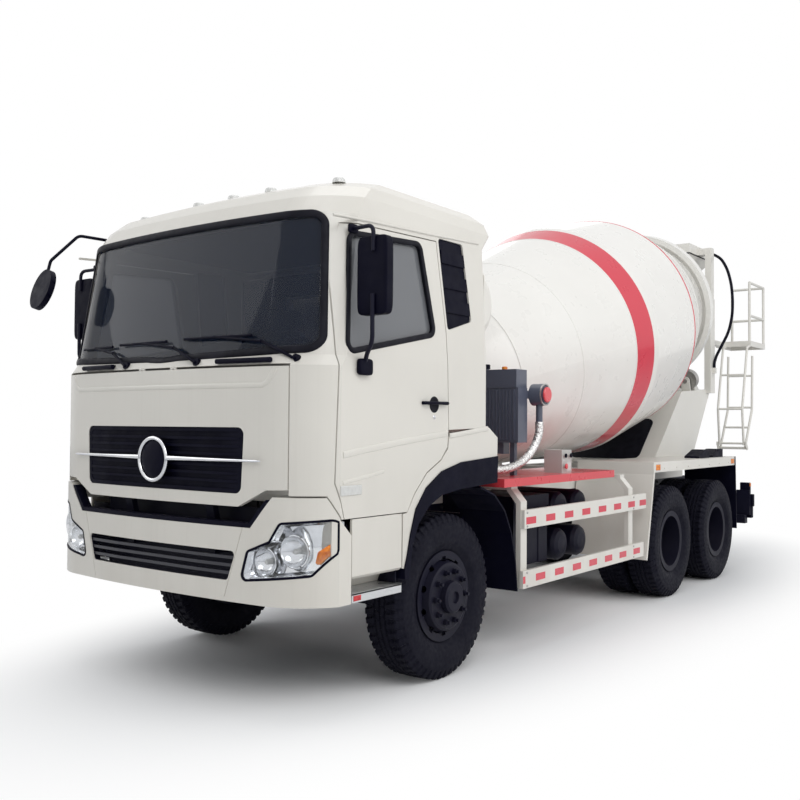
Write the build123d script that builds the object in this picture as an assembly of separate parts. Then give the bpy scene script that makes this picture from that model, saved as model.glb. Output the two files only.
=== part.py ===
from build123d import *
import os
from math import atan2, cos, radians, sin, sqrt, tan

os.makedirs("parts", exist_ok=True)

# Concrete mixer truck, in millimetres. It is drawn with the front axle at y = 0, +Y to the rear,
# +X to the driver's left and +Z up from the ground, and then moved to the middle of its own box.

# Whole truck
WHEELBASE = 3850              # front axle to first rear axle
BOGIE_SPREAD = 1350           # first to second rear axle
CAB_FRONT = -1465             # front panel ahead of the front axle
REAR_END = 7860               # back of the platform
MIDDLE_SHIFT = 3155.5         # front axle to the middle of the truck's box
BODY_HALF = 1240              # half width of cab, bumper, guards and mudguards

# Tyres and wheels
TYRE_RADIUS = 542.5
TYRE_WIDTH = 293
RIM_WIDTH = 236
HAND_HOLES = 10
STUDS = 10
STUD_CIRCLE = 335             # diameter of the studs' circle
BEAD_RADIUS = 256             # outside of the rim's barrel
FLANGE_RADIUS = 296           # rim flange
RIM_WALL = 12
BEAD_GAP = 0.3                # tyre bead to rim barrel
FRONT_WHEEL_X = 1020          # middle of a front tyre
REAR_OUTER_X = 1095           # middle of an outer rear tyre
DUAL_SPACING = 325            # outer to inner tyre of a pair
DISC_OFFSET = 162             # middle of the rim to the hub face of the disc
HUB_RADIUS = 105
BRAKE_RADIUS = 205
SPINDLE_RADIUS = 48
SPIN_GAP = 0.3                # running gap round spindles, shafts and pins

# Ladder frame and subframe
RAIL_HALF = 430               # outside of a frame rail
RAIL_FLANGE = 80
RAIL_WALL = 10
RAIL_BOTTOM = 770
RAIL_TOP = 1050
RAIL_FRONT = -1120
RAIL_REAR = 6540
HORN_FRONT = -1350            # front of the horns that carry cab and bumper
SUBFRAME_TOP = 1250
DECK_TOP = 1330
KINGPIN_X = 835
TRUNNION_Z = 620              # shaft that the bogie springs rock on
TRUNNION_RADIUS = 55
STEER_ARM = (KINGPIN_X, 260)  # x and y of the tie rod's ball pin
TIE_ROD_EYE = 27              # clear of the front tyre's inner wall

# Cab
CAB_WALL = 60
CAB_FLOOR = 1450              # top of the floor sheet
CAB_SKIRT = 1141              # bottom of doors and front corners
PANEL_GAP = 7                 # gap round doors and flap
SEAT_GAP = 0.3                # gap between pieces that seat on each other
GLASS = 6
CAB_REAR = 390
FLAP_HALF = 1030
FLAP_TOP = 2000
FLAP_AXIS = (-1457, 2000)     # y and z of the front flap's hinge pins
CAB_PIVOT = (-1385, 1250)     # y and z of the tilt hinge
BULKHEAD = (-1330, -1300)     # sheet between the front flap's bay and the cab's room
DASH_HALF = 1100              # clear of the doors' front edges as they swing

# Drum, in its own frame: s runs along the axis from the drum's reference point to the rear
DRUM_TILT = 14.02
DRUM_Y = 3000
DRUM_Z = 2389
DRUM_WALL = 10
RING_S = 3000
RING_RADIUS = 930
RING_WIDTH = 100
ROLLER_RADIUS = 125
ROLLER_WIDTH = 90
ROLLER_SPREAD = 32            # degrees from straight below the ring to a roller
SADDLE_DROP = 330             # drum axis down to the front pedestal's seat
MOUTH_S = 3700
MOUTH_RADIUS = 500

# Shapes shared by many pieces


def slab(x, y, z):
    """A box between pairs of limits along X, Y and Z."""
    middle = Pos((x[0] + x[1]) / 2, (y[0] + y[1]) / 2, (z[0] + z[1]) / 2)
    return middle * Box(x[1] - x[0], y[1] - y[0], z[1] - z[0])


def closed(points, radius=0):
    """The face inside a closed outline, its corners rounded where a radius is given."""
    if radius:
        return make_face(FilletPolyline(*points, radius=radius, close=True))
    return make_face(Polyline(*points, close=True))


def prism_x(points, x, radius=0):
    """An outline of (y, z) points carried along X between two limits."""
    return extrude(Plane.YZ.offset(x[0]) * closed(points, radius), x[1] - x[0], dir=(1, 0, 0))


def prism_y(points, y, radius=0):
    """An outline of (x, z) points carried along Y between two limits."""
    return extrude(Plane.XZ.offset(-y[0]) * closed(points, radius), y[1] - y[0], dir=(0, 1, 0))


def prism_z(points, z, radius=0):
    """An outline of (x, y) points carried up between two heights."""
    return extrude(Plane.XY.offset(z[0]) * closed(points, radius), z[1] - z[0], dir=(0, 0, 1))


def other_side(shape):
    """The same piece on the truck's right."""
    return mirror(shape, Plane.YZ)


def both_sides(shape):
    """A piece and its mirror image."""
    return shape + other_side(shape)


def bar(start, end, radius):
    """A straight round bar between two points."""
    path = Vector(*end) - Vector(*start)
    return Plane(origin=start, z_dir=path) * Cylinder(radius, path.length, align=(Align.CENTER, Align.CENTER, Align.MIN))


def pipe(points, radius, bend):
    """A round bar along straight runs with bends of one radius."""
    path = FilletPolyline(*points, radius=bend)
    return sweep(Plane(origin=path @ 0, z_dir=path % 0) * Circle(radius), path=path)


def turned(profile, centre, towards):
    """A closed (along, radius) outline turned round an axis."""
    axis = Plane(origin=centre, x_dir=towards, z_dir=Vector(*towards).cross(Vector(0, 1, 0) if abs(towards[1]) < 0.5
                                                                             else Vector(1, 0, 0)))
    return revolve(axis * closed(profile), axis=Axis(centre, towards))


def drum_point(s, up=0, x=0):
    """A point in the truck's frame from a place along the drum's axis and a height square to it."""
    tilt = radians(DRUM_TILT)
    return (x, DRUM_Y + s * cos(tilt) - up * sin(tilt), DRUM_Z + s * sin(tilt) + up * cos(tilt))


DRUM_AXIS = (0, cos(radians(DRUM_TILT)), sin(radians(DRUM_TILT)))


def save(name, shape):
    """Write one sub-part, moved so that the origin is under the middle of the truck's box."""
    export_step(Pos(0, -MIDDLE_SHIFT, 0) * shape, f"parts/{name}.step")


# Cab shell: rings of the cab's plan at rising heights
# height, front at the middle, half width, rear
CAB_RINGS = [
    (CAB_SKIRT, CAB_FRONT, BODY_HALF, CAB_REAR),
    (FLAP_TOP, CAB_FRONT, BODY_HALF, CAB_REAR),
    (2060, CAB_FRONT + 45, BODY_HALF, CAB_REAR),
    (2890, CAB_FRONT + 178, BODY_HALF - 38, CAB_REAR),
    (3000, CAB_FRONT + 255, BODY_HALF - 50, CAB_REAR + 110),
    (3080, CAB_FRONT + 350, BODY_HALF - 82, CAB_REAR + 95),
    (3140, CAB_FRONT + 505, BODY_HALF - 145, CAB_REAR + 10),
    (3180, CAB_FRONT + 760, BODY_HALF - 290, CAB_REAR - 190),
]
FRONT_ARC_IN = 390            # end of the shallow front arc, in from the side
FRONT_ARC_RISE = 44
CORNER_IN = 165               # middle of the corner arc
CORNER_RISE = 115
CORNER_END = 295
REAR_CORNER = 60


def cab_ring(z, front, half, rear, inset=0):
    """One plan of the cab: shallow front arc, two corner arcs, sides and rounded rear corners."""
    f = front + inset
    h = half - inset
    r = rear - inset
    k = REAR_CORNER * (1 - sqrt(0.5))
    a = (h - FRONT_ARC_IN, f + FRONT_ARC_RISE)
    b = (h - CORNER_IN, f + CORNER_RISE)
    c = (h, f + CORNER_END)
    edges = [
        ThreePointArc((-a[0], a[1]), (0, f), a),
        ThreePointArc(a, b, c),
        Line(c, (h, r - REAR_CORNER)),
        ThreePointArc((h, r - REAR_CORNER), (h - k, r - k), (h - REAR_CORNER, r)),
        Line((h - REAR_CORNER, r), (REAR_CORNER - h, r)),
        ThreePointArc((REAR_CORNER - h, r), (k - h, r - k), (-h, r - REAR_CORNER)),
        Line((-h, r - REAR_CORNER), (-c[0], c[1])),
        ThreePointArc((-c[0], c[1]), (-b[0], b[1]), (-a[0], a[1])),
    ]
    return Pos(0, 0, z) * make_face(edges)


def cab_form(inset=0, first=0, last=len(CAB_RINGS)):
    """The cab's outer form, or a smaller one inside it by an inset."""
    faces = []
    for z, front, half, rear in CAB_RINGS[first:last]:
        lift = inset if z > CAB_RINGS[3][0] else 0
        faces.append(cab_ring(z - lift, front, half, rear, inset))
    return loft(faces, ruled=True)


# Door outline from the side, as y and z
DOOR_OUTLINE = [
    (-1133, CAB_SKIRT), (-549, CAB_SKIRT), (-477, 1250), (-350, 1372), (-190, 1452), (-119, 1530),
    (-108, 1640), (-131, 2271), (-213, 2850), (-1090, 2822), (-1163, 2630), (-1196, 1344),
]
WINDOW_OUTLINE = [(-1108, 2085), (-264, 2252), (-392, 2800), (-1062, 2758)]
SCREEN_OUTLINE = [(-1150, 2105), (0, 2070), (1150, 2105), (1075, 2868), (-1075, 2868)]
LOUVRE_OUTLINE = [(-187, 2880), (100, 2882), (182, 2368), (-108, 2285)]
GRILLE_OUTLINE = [(-740, 1650), (-722, 1273), (722, 1273), (740, 1650)]
GRILLE_CORNER = 45
SCREEN_CORNER = 70
WINDOW_CORNER = 45
LOUVRE_CORNER = 25
REAR_WINDOW = ((-620, 620), (2120, 2680))
BUMPER_SIDE = [(-1700, 500), (-1072, 500), (-1072, 1045), (-1163, 1132), (-1240, 1263), (-1700, 1263)]
DOOR_INNER_X = BODY_HALF - 100


def grown(points, by):
    """An outline with every side moved out by one distance."""
    return offset(make_face(Polyline(*points, close=True)), amount=by, kind=Kind.INTERSECTION)


def side_cut(points, by, x):
    """A grown side outline carried along X."""
    return extrude(Plane.YZ.offset(x[0]) * grown(points, by), x[1] - x[0], dir=(1, 0, 0))


# Edge between the white fender and the black arch band, as y and z
ARCH_EDGE = [(-580, 800), (-553, 878), (-521, 1004), (-467, 1153), (-356, 1280), (-188, 1375), (38, 1427), (502, 1456)]
FENDER_OUTLINE = ARCH_EDGE + [
    (505, 1585), (CAB_REAR, 1655), (-98, 1600), (-108, 1518), (-186, 1444), (-346, 1364), (-473, 1242),
    (-549, CAB_SKIRT - 6), (-590, CAB_SKIRT - 10), (-594, 805),
]
TRIM_OUTLINE = ARCH_EDGE + [
    (494, 1272), (40, 1251), (-187, 1223), (-325, 1164), (-438, 1061), (-500, 936), (-530, 736), (-575, 736),
]


def cab_shell():
    """Hollow cab of 60 mm walls with its floor, the openings cut and the white fenders below."""
    outer = cab_form()
    room = cab_form(CAB_WALL) & slab((-1300, 1300), (BULKHEAD[1], 900), (CAB_FLOOR, FLAP_TOP + CAB_WALL))
    room += cab_form(CAB_WALL) & slab((-1300, 1300), (-1600, 900), (FLAP_TOP + CAB_WALL, 3200))
    below = slab((-1090, 1090), (-1200, 900), (CAB_SKIRT - 1, CAB_FLOOR - CAB_WALL))
    shell = outer - room - below
    # bay behind the front flap, open below
    shell -= slab((-FLAP_HALF - PANEL_GAP, FLAP_HALF + PANEL_GAP), (-1700, BULKHEAD[0]), (1000, FLAP_TOP + PANEL_GAP))
    shell -= slab((-1090, 1090), (-1400, -1150), (1000, 1200))
    shell -= side_cut(BUMPER_SIDE, 10, (-1300, 1300))
    # wheel arches
    arch = prism_x([(-549, 1000), (-549, CAB_SKIRT), (-477, 1250), (-350, 1372), (-190, 1452), (-119, 1530),
                    (-108, 1640), (600, 1660), (600, 1000)], (700, 1400))
    shell -= both_sides(arch)
    shell -= both_sides(slab((700, 1400), (-549, 900), (1000, CAB_FLOOR - CAB_WALL)))
    for side in (1, -1):
        x = (DOOR_INNER_X, 1400) if side > 0 else (-1400, -DOOR_INNER_X)
        shell -= side_cut(DOOR_OUTLINE, PANEL_GAP, x)
        shell -= prism_x(LOUVRE_OUTLINE, (1100, 1400) if side > 0 else (-1400, -1100), LOUVRE_CORNER)
    shell -= prism_y(SCREEN_OUTLINE, (-1700, -900), SCREEN_CORNER)
    shell -= slab(REAR_WINDOW[0], (300, 500), REAR_WINDOW[1])
    fender = prism_x(FENDER_OUTLINE, (1130, BODY_HALF))
    return shell + both_sides(fender) + cab_hinge() + flap_hinge_pins()


def cab_hinge():
    """Arms below the cab floor that carry the cab on its tilt pins."""
    y, z = CAB_PIVOT
    back = BULKHEAD[0] + 5
    arm = prism_x([(y - 30, z), (y, z - 30), (back, z - 45), (back, z + 120), (y + 30, z + 60)], (436, 460))
    return both_sides(arm - Pos(448, y, z) * Rot(0, 90, 0) * Cylinder(18 + SPIN_GAP, 60))


def flap_knuckle(x0, x1, radius):
    """A length of round bar on the front flap's hinge axis."""
    y, z = FLAP_AXIS
    return bar((x0, y, z), (x1, y, z), radius)


def flap_hinge_pins():
    """Pins of the front flap's two hinges, each on a lug below the windscreen's strip."""
    y, z = FLAP_AXIS
    lug = slab((144, 156), (y - 4, y + 6), (z, FLAP_TOP + PANEL_GAP + 5))
    return both_sides(lug + flap_knuckle(122, 178, 3))


def flap_knuckles():
    """The flap's eyes round those pins."""
    y, z = FLAP_AXIS
    eyes = flap_knuckle(123, 142, 6) + flap_knuckle(158, 177, 6)
    leaf = slab((123, 142), (y - 4, y + 5), (z - 18, z - 3)) + slab((158, 177), (y - 4, y + 5), (z - 18, z - 3))
    return both_sides(eyes + leaf - flap_knuckle(120, 180, 3 + SPIN_GAP))


def cab_glass():
    """Windscreen that follows the cab's front, and the flat rear window."""
    skin = cab_form(8) - cab_form(8 + GLASS)
    pane = Plane.XZ.offset(1700) * offset(closed(SCREEN_OUTLINE, SCREEN_CORNER), amount=-SEAT_GAP)
    screen = skin & extrude(pane, 800, dir=(0, 1, 0))
    (x0, x1), (z0, z1) = REAR_WINDOW
    rear = slab((x0 + SEAT_GAP, x1 - SEAT_GAP), (CAB_REAR - 30, CAB_REAR - 30 + GLASS), (z0 + SEAT_GAP, z1 - SEAT_GAP))
    return screen + rear


def door(side):
    """One door: the wall's outer skin down to the sill, with its window cut out."""
    x = (DOOR_INNER_X, 1400) if side > 0 else (-1400, -DOOR_INNER_X)
    leaf = (cab_form() - cab_form(CAB_WALL)) & prism_x(DOOR_OUTLINE, x)
    return leaf - prism_x(WINDOW_OUTLINE, x, WINDOW_CORNER)


def door_glass(side):
    """Side window, set in the middle of the door's thickness."""
    x = (DOOR_INNER_X, 1400) if side > 0 else (-1400, -DOOR_INNER_X)
    skin = cab_form(22) - cab_form(22 + GLASS)
    pane = Plane.YZ.offset(x[0]) * offset(closed(WINDOW_OUTLINE, WINDOW_CORNER), amount=-SEAT_GAP)
    return skin & extrude(pane, x[1] - x[0], dir=(1, 0, 0))


def mirror_and_handle(side):
    """Door mirror on its arm, with the door's pull handle."""
    head = prism_z([(1262, -1075), (1478, -1075), (1478, -990), (1262, -1015)], (2285, 2730), 30)
    skin_x = BODY_HALF - 38 * (2790 - 2060) / (2890 - 2060)
    arm = pipe([(BODY_HALF + SEAT_GAP, -1080, 2010), (1300, -1080, 2010), (1300, -1080, 2250)], 13, 30)
    arm += bar((1300, -1080, 2250), (1300, -1075, 2290), 13)
    arm += slab((BODY_HALF + SEAT_GAP, BODY_HALF + 26), (-1115, -1050), (1925, 2000))
    arm += pipe([(1300, -1040, 2728), (1300, -1040, 2790), (skin_x + 1, -1040, 2790)], 13, 30)
    handle = slab((1245, 1268), (-410, -130), (1795, 1825))
    feet = slab((1240.3, 1246), (-400, -370), (1798, 1822)) + slab((1240.3, 1246), (-170, -140), (1798, 1822))
    whole = head + arm + handle + feet
    return whole if side > 0 else other_side(whole)


def front_flap():
    """Service flap below the windscreen, with the grille's opening and a pressed edge."""
    low = 1200
    skin = cab_form(0, 0, 2) - cab_form(30, 0, 2)
    front = prism_y([(-FLAP_HALF, 1305), (-900, 1300), (-700, low), (700, low), (900, 1300), (FLAP_HALF, 1305),
                     (FLAP_HALF, FLAP_TOP - PANEL_GAP), (-FLAP_HALF, FLAP_TOP - PANEL_GAP)], (-1700, -1336))
    opening = prism_y(GRILLE_OUTLINE, (-1700, -1300), GRILLE_CORNER)
    horn_relief = both_sides(slab((335, 437), (-1446, -1300), (low - 10, low + 40)))
    return (skin & front) - opening - horn_relief + flap_knuckles()


def grille():
    """Black grille in the flap: a frame, upright back plate and four slats."""
    rim = Plane.XZ.offset(1448) * offset(closed(GRILLE_OUTLINE, GRILLE_CORNER), amount=-SEAT_GAP)
    frame = extrude(rim, 26, dir=(0, 1, 0))
    inside = prism_y([(-712, 1625), (-696, 1298), (696, 1298), (712, 1625)], (-1600, -1428), 30)
    body = frame - inside
    for z in (1340, 1385, 1430, 1494, 1540, 1585):
        body += slab((-706, 706), (-1446, -1424), (z - 8, z + 8))
    return body & (cab_form(4, 0, 2))


def cab_front(x, z):
    """How far forward the cab's front reaches at a place across and up."""
    rings = [(low, high) for low, high in zip(CAB_RINGS, CAB_RINGS[1:]) if low[0] <= z <= high[0]]
    low, high = rings[0]
    part = (z - low[0]) / (high[0] - low[0])
    front = low[1] + part * (high[1] - low[1])
    half = low[2] + part * (high[2] - low[2])
    flat = half - FRONT_ARC_IN
    if abs(x) <= flat:
        return front + FRONT_ARC_RISE * (x / flat) ** 2
    return front + FRONT_ARC_RISE + (CORNER_RISE - FRONT_ARC_RISE) * (abs(x) - flat) / (FRONT_ARC_IN - CORNER_IN)


# pivot x and z, elbow x and z, blade's near and far x, and its z
WIPERS = [
    (-332, 2030, -500, 2120, -540, -930, 2165),
    (340, 2030, 120, 2130, 30, -450, 2172),
    (1050, 2035, 830, 2140, 740, 190, 2178),
]
GRAB_HANDLES = [
    (-806, -456),
    (524, 925),
]
SLATS = [2405, 2565, 2725]    # undersides of the louvre's slats
SLAT_HEIGHT = 85


def wiper(pivot_x, pivot_z, elbow_x, elbow_z, near, far, blade_z):
    """Wiper: pivot boss, arm up to the glass and a blade along it."""
    y = cab_front(pivot_x, pivot_z)
    boss = Plane(origin=(pivot_x, y + 6, pivot_z), z_dir=(0, -1, 0.2)) * Cylinder(24, 44)
    elbow = (elbow_x, cab_front(elbow_x, elbow_z) - 26, elbow_z)
    middle = (near + far) / 2
    tip = (middle, cab_front(middle, blade_z) - 20, blade_z)
    arm = bar((pivot_x, y - 18, pivot_z), elbow, 9) + bar(elbow, tip, 8) + Pos(*elbow) * Sphere(11)
    blade = bar((near, cab_front(near, blade_z) - 13, blade_z), tip, 8) + bar(tip, (far, cab_front(far, blade_z) - 13, blade_z), 8)
    return boss + arm + blade + Pos(*tip) * Sphere(9)


def grab_handle(x0, x1):
    """Grab handle on the strip below the windscreen."""
    z = 2030
    ends = [(x, cab_front(x, z)) for x in (x0 + 25, x1 - 25)]
    grip = bar((x0, ends[0][1] - 26, z), (x1, ends[1][1] - 26, z), 15)
    for x, y in ends:
        grip += bar((x, y - 26, z), (x, y + 8, z), 14)
    return grip


def cab_trim():
    """Black arch bands, slatted side louvres, roof lamps, wipers, grab handles and the round front mirror."""
    band = prism_x(TRIM_OUTLINE, (1120, BODY_HALF + 8))
    panel = Plane.YZ.offset(1100) * offset(closed(LOUVRE_OUTLINE, LOUVRE_CORNER), amount=-SEAT_GAP)
    panel = extrude(panel, 300, dir=(1, 0, 0))
    louvre = (cab_form(12) - cab_form(40)) & panel
    for z in SLATS:
        louvre += (cab_form(2) - cab_form(14)) & panel & slab((1000, 1400), (-150, 170), (z, z + SLAT_HEIGHT))
    trim = both_sides(band + louvre)
    fittings = Part()
    for place in WIPERS:
        fittings += wiper(*place)
    for place in GRAB_HANDLES:
        fittings += grab_handle(*place)
    for x in (-930, -370, 0, 370, 930):
        y, z = (-930, 3135) if abs(x) > 500 else (-985, 3139)
        fittings += Pos(x, y, z) * Sphere(48)
    fittings += pipe([(-1090, -1010, 2985), (-1180, -1240, 3000), (-1240, -1420, 2800), (-1240, -1440, 2720)], 11, 60)
    fittings += Plane(origin=(-1240, -1475, 2590), x_dir=(1, 0, 0), z_dir=(0.15, 0.95, -0.27)) * Cylinder(145, 40)
    return trim + (fittings - cab_form(-SEAT_GAP))


def cab_seats():
    """Two seats, the dashboard and the steering wheel inside the cab."""
    seats = Part()
    for x in (-560, 560):
        seats += slab((x - 240, x + 240), (-420, 80), (CAB_FLOOR + 180, CAB_FLOOR + 460))
        seats += prism_x([(60, CAB_FLOOR + 300), (180, CAB_FLOOR + 300), (300, 2560), (200, 2580)], (x - 230, x + 230))
        seats += slab((x - 180, x + 180), (-300, 0), (CAB_FLOOR, CAB_FLOOR + 200))
    return seats


def dashboard():
    """Dashboard across the cab with a steering wheel on its column."""
    dash = prism_x([(-1450, 1650), (-1000, 1650), (-860, 1900), (-900, 2040), (-1450, 2050)], (-DASH_HALF, DASH_HALF))
    dash = dash & cab_form(CAB_WALL + SEAT_GAP) & slab((-1300, 1300), (BULKHEAD[1] + SEAT_GAP, -800), (1600, 2100))
    wheel = Plane(origin=(560, -720, 2080), z_dir=(0, 0.62, 0.78)) * (Torus(215, 15))
    column = bar((560, -960, 1790), (560, -720, 2080), 30)
    spoke = Plane(origin=(560, -720, 2080), z_dir=(0, 0.62, 0.78)) * Box(410, 40, 14)
    return dash + column + wheel + spoke


# Running gear


def tyre(x, y):
    """One tyre: flat tread, rounded shoulders, bulging walls and a bore at the bead."""
    w = TYRE_WIDTH / 2
    half_bead = RIM_WIDTH / 2 - 14
    bore = BEAD_RADIUS + BEAD_GAP
    wall = [(half_bead, bore), (half_bead, FLANGE_RADIUS + 4), (w - 8, FLANGE_RADIUS + 44), (w, 420), (w - 22, TYRE_RADIUS - 28),
            (w - 45, TYRE_RADIUS)]
    profile = wall + [(-a, r) for a, r in reversed(wall)]
    return turned(profile, (x, y, TYRE_RADIUS), (1, 0, 0))


def rim(x, y, disc_side):
    """Rim barrel with two flanges and a dished disc towards one side."""
    w = RIM_WIDTH / 2
    barrel = [(-w, FLANGE_RADIUS), (-w + 10, FLANGE_RADIUS), (-w + 12, BEAD_RADIUS), (w - 12, BEAD_RADIUS),
              (w - 10, FLANGE_RADIUS), (w, FLANGE_RADIUS), (w - 2, BEAD_RADIUS - RIM_WALL), (2 - w, BEAD_RADIUS - RIM_WALL)]
    t = RIM_WALL
    d = DISC_OFFSET * disc_side
    k = disc_side
    disc = [(k * 60, BEAD_RADIUS - t + 2), (k * 75, BEAD_RADIUS - t + 2), (d - k * 8, 222), (d, 206), (d, 60),
            (d - k * t, 60), (d - k * t, 202), (d - k * 18, 212)]
    body = turned(barrel, (x, y, TYRE_RADIUS), (1, 0, 0)) + turned(disc, (x, y, TYRE_RADIUS), (1, 0, 0))
    for turn in range(HAND_HOLES):
        body -= Pos(x, y, TYRE_RADIUS) * Rot(360 / HAND_HOLES * turn, 0, 0) * Pos(k * 108, 0, 235) * Cylinder(23, 50)
    return body


def stud_ring(face, y):
    """Wheel studs with their nuts on a face towards the outside."""
    ring = Part()
    for turn in range(STUDS):
        place = Pos(face, y, TYRE_RADIUS) * Rot(360 / STUDS * (turn + 0.5), 0, 0) * Pos(0, 0, STUD_CIRCLE / 2)
        ring += place * Rot(0, 90, 0) * (Pos(0, 0, 12) * Cylinder(19, 26) + Pos(0, 0, 20) * Cylinder(11, 48))
    return ring


def front_wheel(side):
    """Front wheel with its convex disc, hub and brake drum, bored for the stub axle."""
    x = FRONT_WHEEL_X
    centre = (x, 0, TYRE_RADIUS)
    bore = SPINDLE_RADIUS + SPIN_GAP
    hub = [(-30, bore), (-30, 118), (130, 118), (130, 175), (149, 175), (149, 108), (200, 104), (212, 88), (212, 40),
           (196, 36), (196, 0), (130, 0), (130, bore)]
    brake = [(-50, BRAKE_RADIUS - 14), (-50, BRAKE_RADIUS), (60, BRAKE_RADIUS), (80, 150), (80, 110), (60, 110), (60, BRAKE_RADIUS - 14)]
    whole = rim(x, 0, 1) + turned(hub, centre, (1, 0, 0)) + turned(brake, centre, (1, 0, 0))
    whole += stud_ring(x + DISC_OFFSET, 0)
    return whole if side > 0 else other_side(whole)


def rear_wheel(side, y):
    """A pair of rear rims back to back on one hub with the brake drum."""
    inner = REAR_OUTER_X - DUAL_SPACING
    face = (REAR_OUTER_X + inner) / 2
    centre = (face, y, TYRE_RADIUS)
    bore = SPINDLE_RADIUS + SPIN_GAP
    hub = [(-250, bore), (-250, 118), (-40, 118), (-12.5, 175), (12.5, 175), (12.5, HUB_RADIUS + 20), (110, HUB_RADIUS + 12),
           (112, 152), (128, 152), (130, 88), (144, 80), (144, 0), (110, 0), (110, bore)]
    brake = [(-262, BRAKE_RADIUS - 14), (-262, BRAKE_RADIUS), (-70, BRAKE_RADIUS), (-40, 150), (-40, 110), (-60, 110), (-75, BRAKE_RADIUS - 14)]
    whole = rim(REAR_OUTER_X, y, -1) + rim(inner, y, 1)
    whole += turned(hub, centre, (1, 0, 0)) + turned(brake, centre, (1, 0, 0))
    whole += stud_ring(face + RIM_WALL, y)
    return whole if side > 0 else other_side(whole)


def rear_tyres(side, y):
    """The two tyres of a pair."""
    pair = tyre(REAR_OUTER_X, y) + tyre(REAR_OUTER_X - DUAL_SPACING, y)
    return pair if side > 0 else other_side(pair)


def front_axle():
    """Drop beam between the kingpins with its two leaf springs."""
    beam = prism_y([(-KINGPIN_X, 470), (-KINGPIN_X, 560), (-760, 560), (-620, 520), (620, 520), (760, 560),
                    (KINGPIN_X, 560), (KINGPIN_X, 470), (KINGPIN_X - 65, 470), (630, 420), (-630, 420), (65 - KINGPIN_X, 470)], (-45, 45))
    boss = Pos(KINGPIN_X, 0, 545) * Cylinder(58, 150)
    leaf = prism_x([(-800, 700), (-480, 610), (-160, 520), (160, 520), (500, 610), (840, 700), (840, 722), (480, 640),
                    (120, 590), (-120, 590), (-460, 640), (-800, 722)], (352, 428))
    hangers = slab((356, 424), (-830, -780), (690, RAIL_BOTTOM)) + slab((356, 424), (815, 865), (690, RAIL_BOTTOM))
    return beam + both_sides(boss) + both_sides(leaf + hangers)


def knuckle(side):
    """Steering knuckle: a fork round the kingpin boss, the stub axle and the steering arm."""
    top = Pos(KINGPIN_X, 0, 620.3 + 22) * Cylinder(58, 44)
    low = Pos(KINGPIN_X, 0, 469.7 - 22) * Cylinder(58, 44)
    web = slab((928, 955), (-62, 62), (426, 664))
    ears = slab((KINGPIN_X, 940), (-40, 40), (620.3, 664)) + slab((KINGPIN_X, 940), (-40, 40), (426, 469.7))
    stub = bar((950, 0, TYRE_RADIUS), (1140, 0, TYRE_RADIUS), SPINDLE_RADIUS)
    arm_x, arm_y = STEER_ARM
    arm = prism_z([(955, 62), (925, 30), (890, 40), (arm_x - 28, 150), (arm_x - 28, arm_y + 2), (arm_x - 10, arm_y + 25),
                   (arm_x + 25, arm_y + 18), (arm_x + 20, 150)], (426, 456))
    pin = Pos(arm_x, arm_y, 405) * Cylinder(14, 60)
    whole = top + low + web + ears + stub + arm + pin
    return whole if side > 0 else other_side(whole)


def tie_rod():
    """Tie rod between the two steering arms, with an eye at each end."""
    arm_x, arm_y = STEER_ARM
    rod = bar((-arm_x + 20, arm_y, 398), (arm_x - 20, arm_y, 398), 20)
    eyes = both_sides(Pos(arm_x, arm_y, 398) * Cylinder(TIE_ROD_EYE, 44))
    bores = both_sides(Pos(arm_x, arm_y, 398) * Cylinder(14 + SPIN_GAP, 60))
    return rod + eyes - bores


def rear_axles():
    """Two driven axles, their spindles, the trunnion springs and the propeller shafts."""
    whole = Part()
    for y in (WHEELBASE, WHEELBASE + BOGIE_SPREAD):
        whole += bar((-640, y, TYRE_RADIUS), (640, y, TYRE_RADIUS), 75)
        whole += bar((-1020, y, TYRE_RADIUS), (1020, y, TYRE_RADIUS), SPINDLE_RADIUS)
        whole += Pos(0, y, TYRE_RADIUS) * Sphere(205)
        whole += bar((0, y - 300, TYRE_RADIUS + 20), (0, y, TYRE_RADIUS + 20), 90)
    middle = WHEELBASE + BOGIE_SPREAD / 2
    leaf = prism_x([(WHEELBASE - 120, 615), (middle - 350, 700), (middle, 730), (middle + 350, 700),
                    (WHEELBASE + BOGIE_SPREAD + 120, 615), (WHEELBASE + BOGIE_SPREAD + 120, 645), (middle + 350, 770),
                    (middle + 100, 840), (middle - 100, 840), (middle - 350, 770), (WHEELBASE - 120, 645)], (450, 540))
    whole += both_sides(leaf)
    seat = slab((440, 550), (middle - 110, middle + 110), (560, 735))
    whole += both_sides(seat) + bar((-600, middle, TRUNNION_Z), (600, middle, TRUNNION_Z), TRUNNION_RADIUS)
    whole += bar((0, 1340, 820), (0, WHEELBASE - 290, TYRE_RADIUS + 20), 50) + bar((0, 1320, 820), (0, 1350, 820), 75)
    whole += bar((0, WHEELBASE, TYRE_RADIUS + 20), (0, WHEELBASE + BOGIE_SPREAD - 290, TYRE_RADIUS + 20), 45)
    return whole


def engine_block():
    """Engine with its gearbox, as one plain block."""
    engine = slab((-320, 320), (-900, 330), (640, 1350))
    gearbox = slab((-210, 210), (330, 1320), (700, 1120))
    mounts = slab((320, RAIL_HALF - RAIL_WALL), (-600, -520), (800, 870)) + slab((210, RAIL_HALF - RAIL_WALL), (700, 780), (800, 870))
    radiator = slab((-345, 345), (-1030, -940), (600, 1330)) + slab((-200, 200), (-945, -895), (700, 1200))
    return engine + gearbox + radiator + both_sides(mounts)


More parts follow.
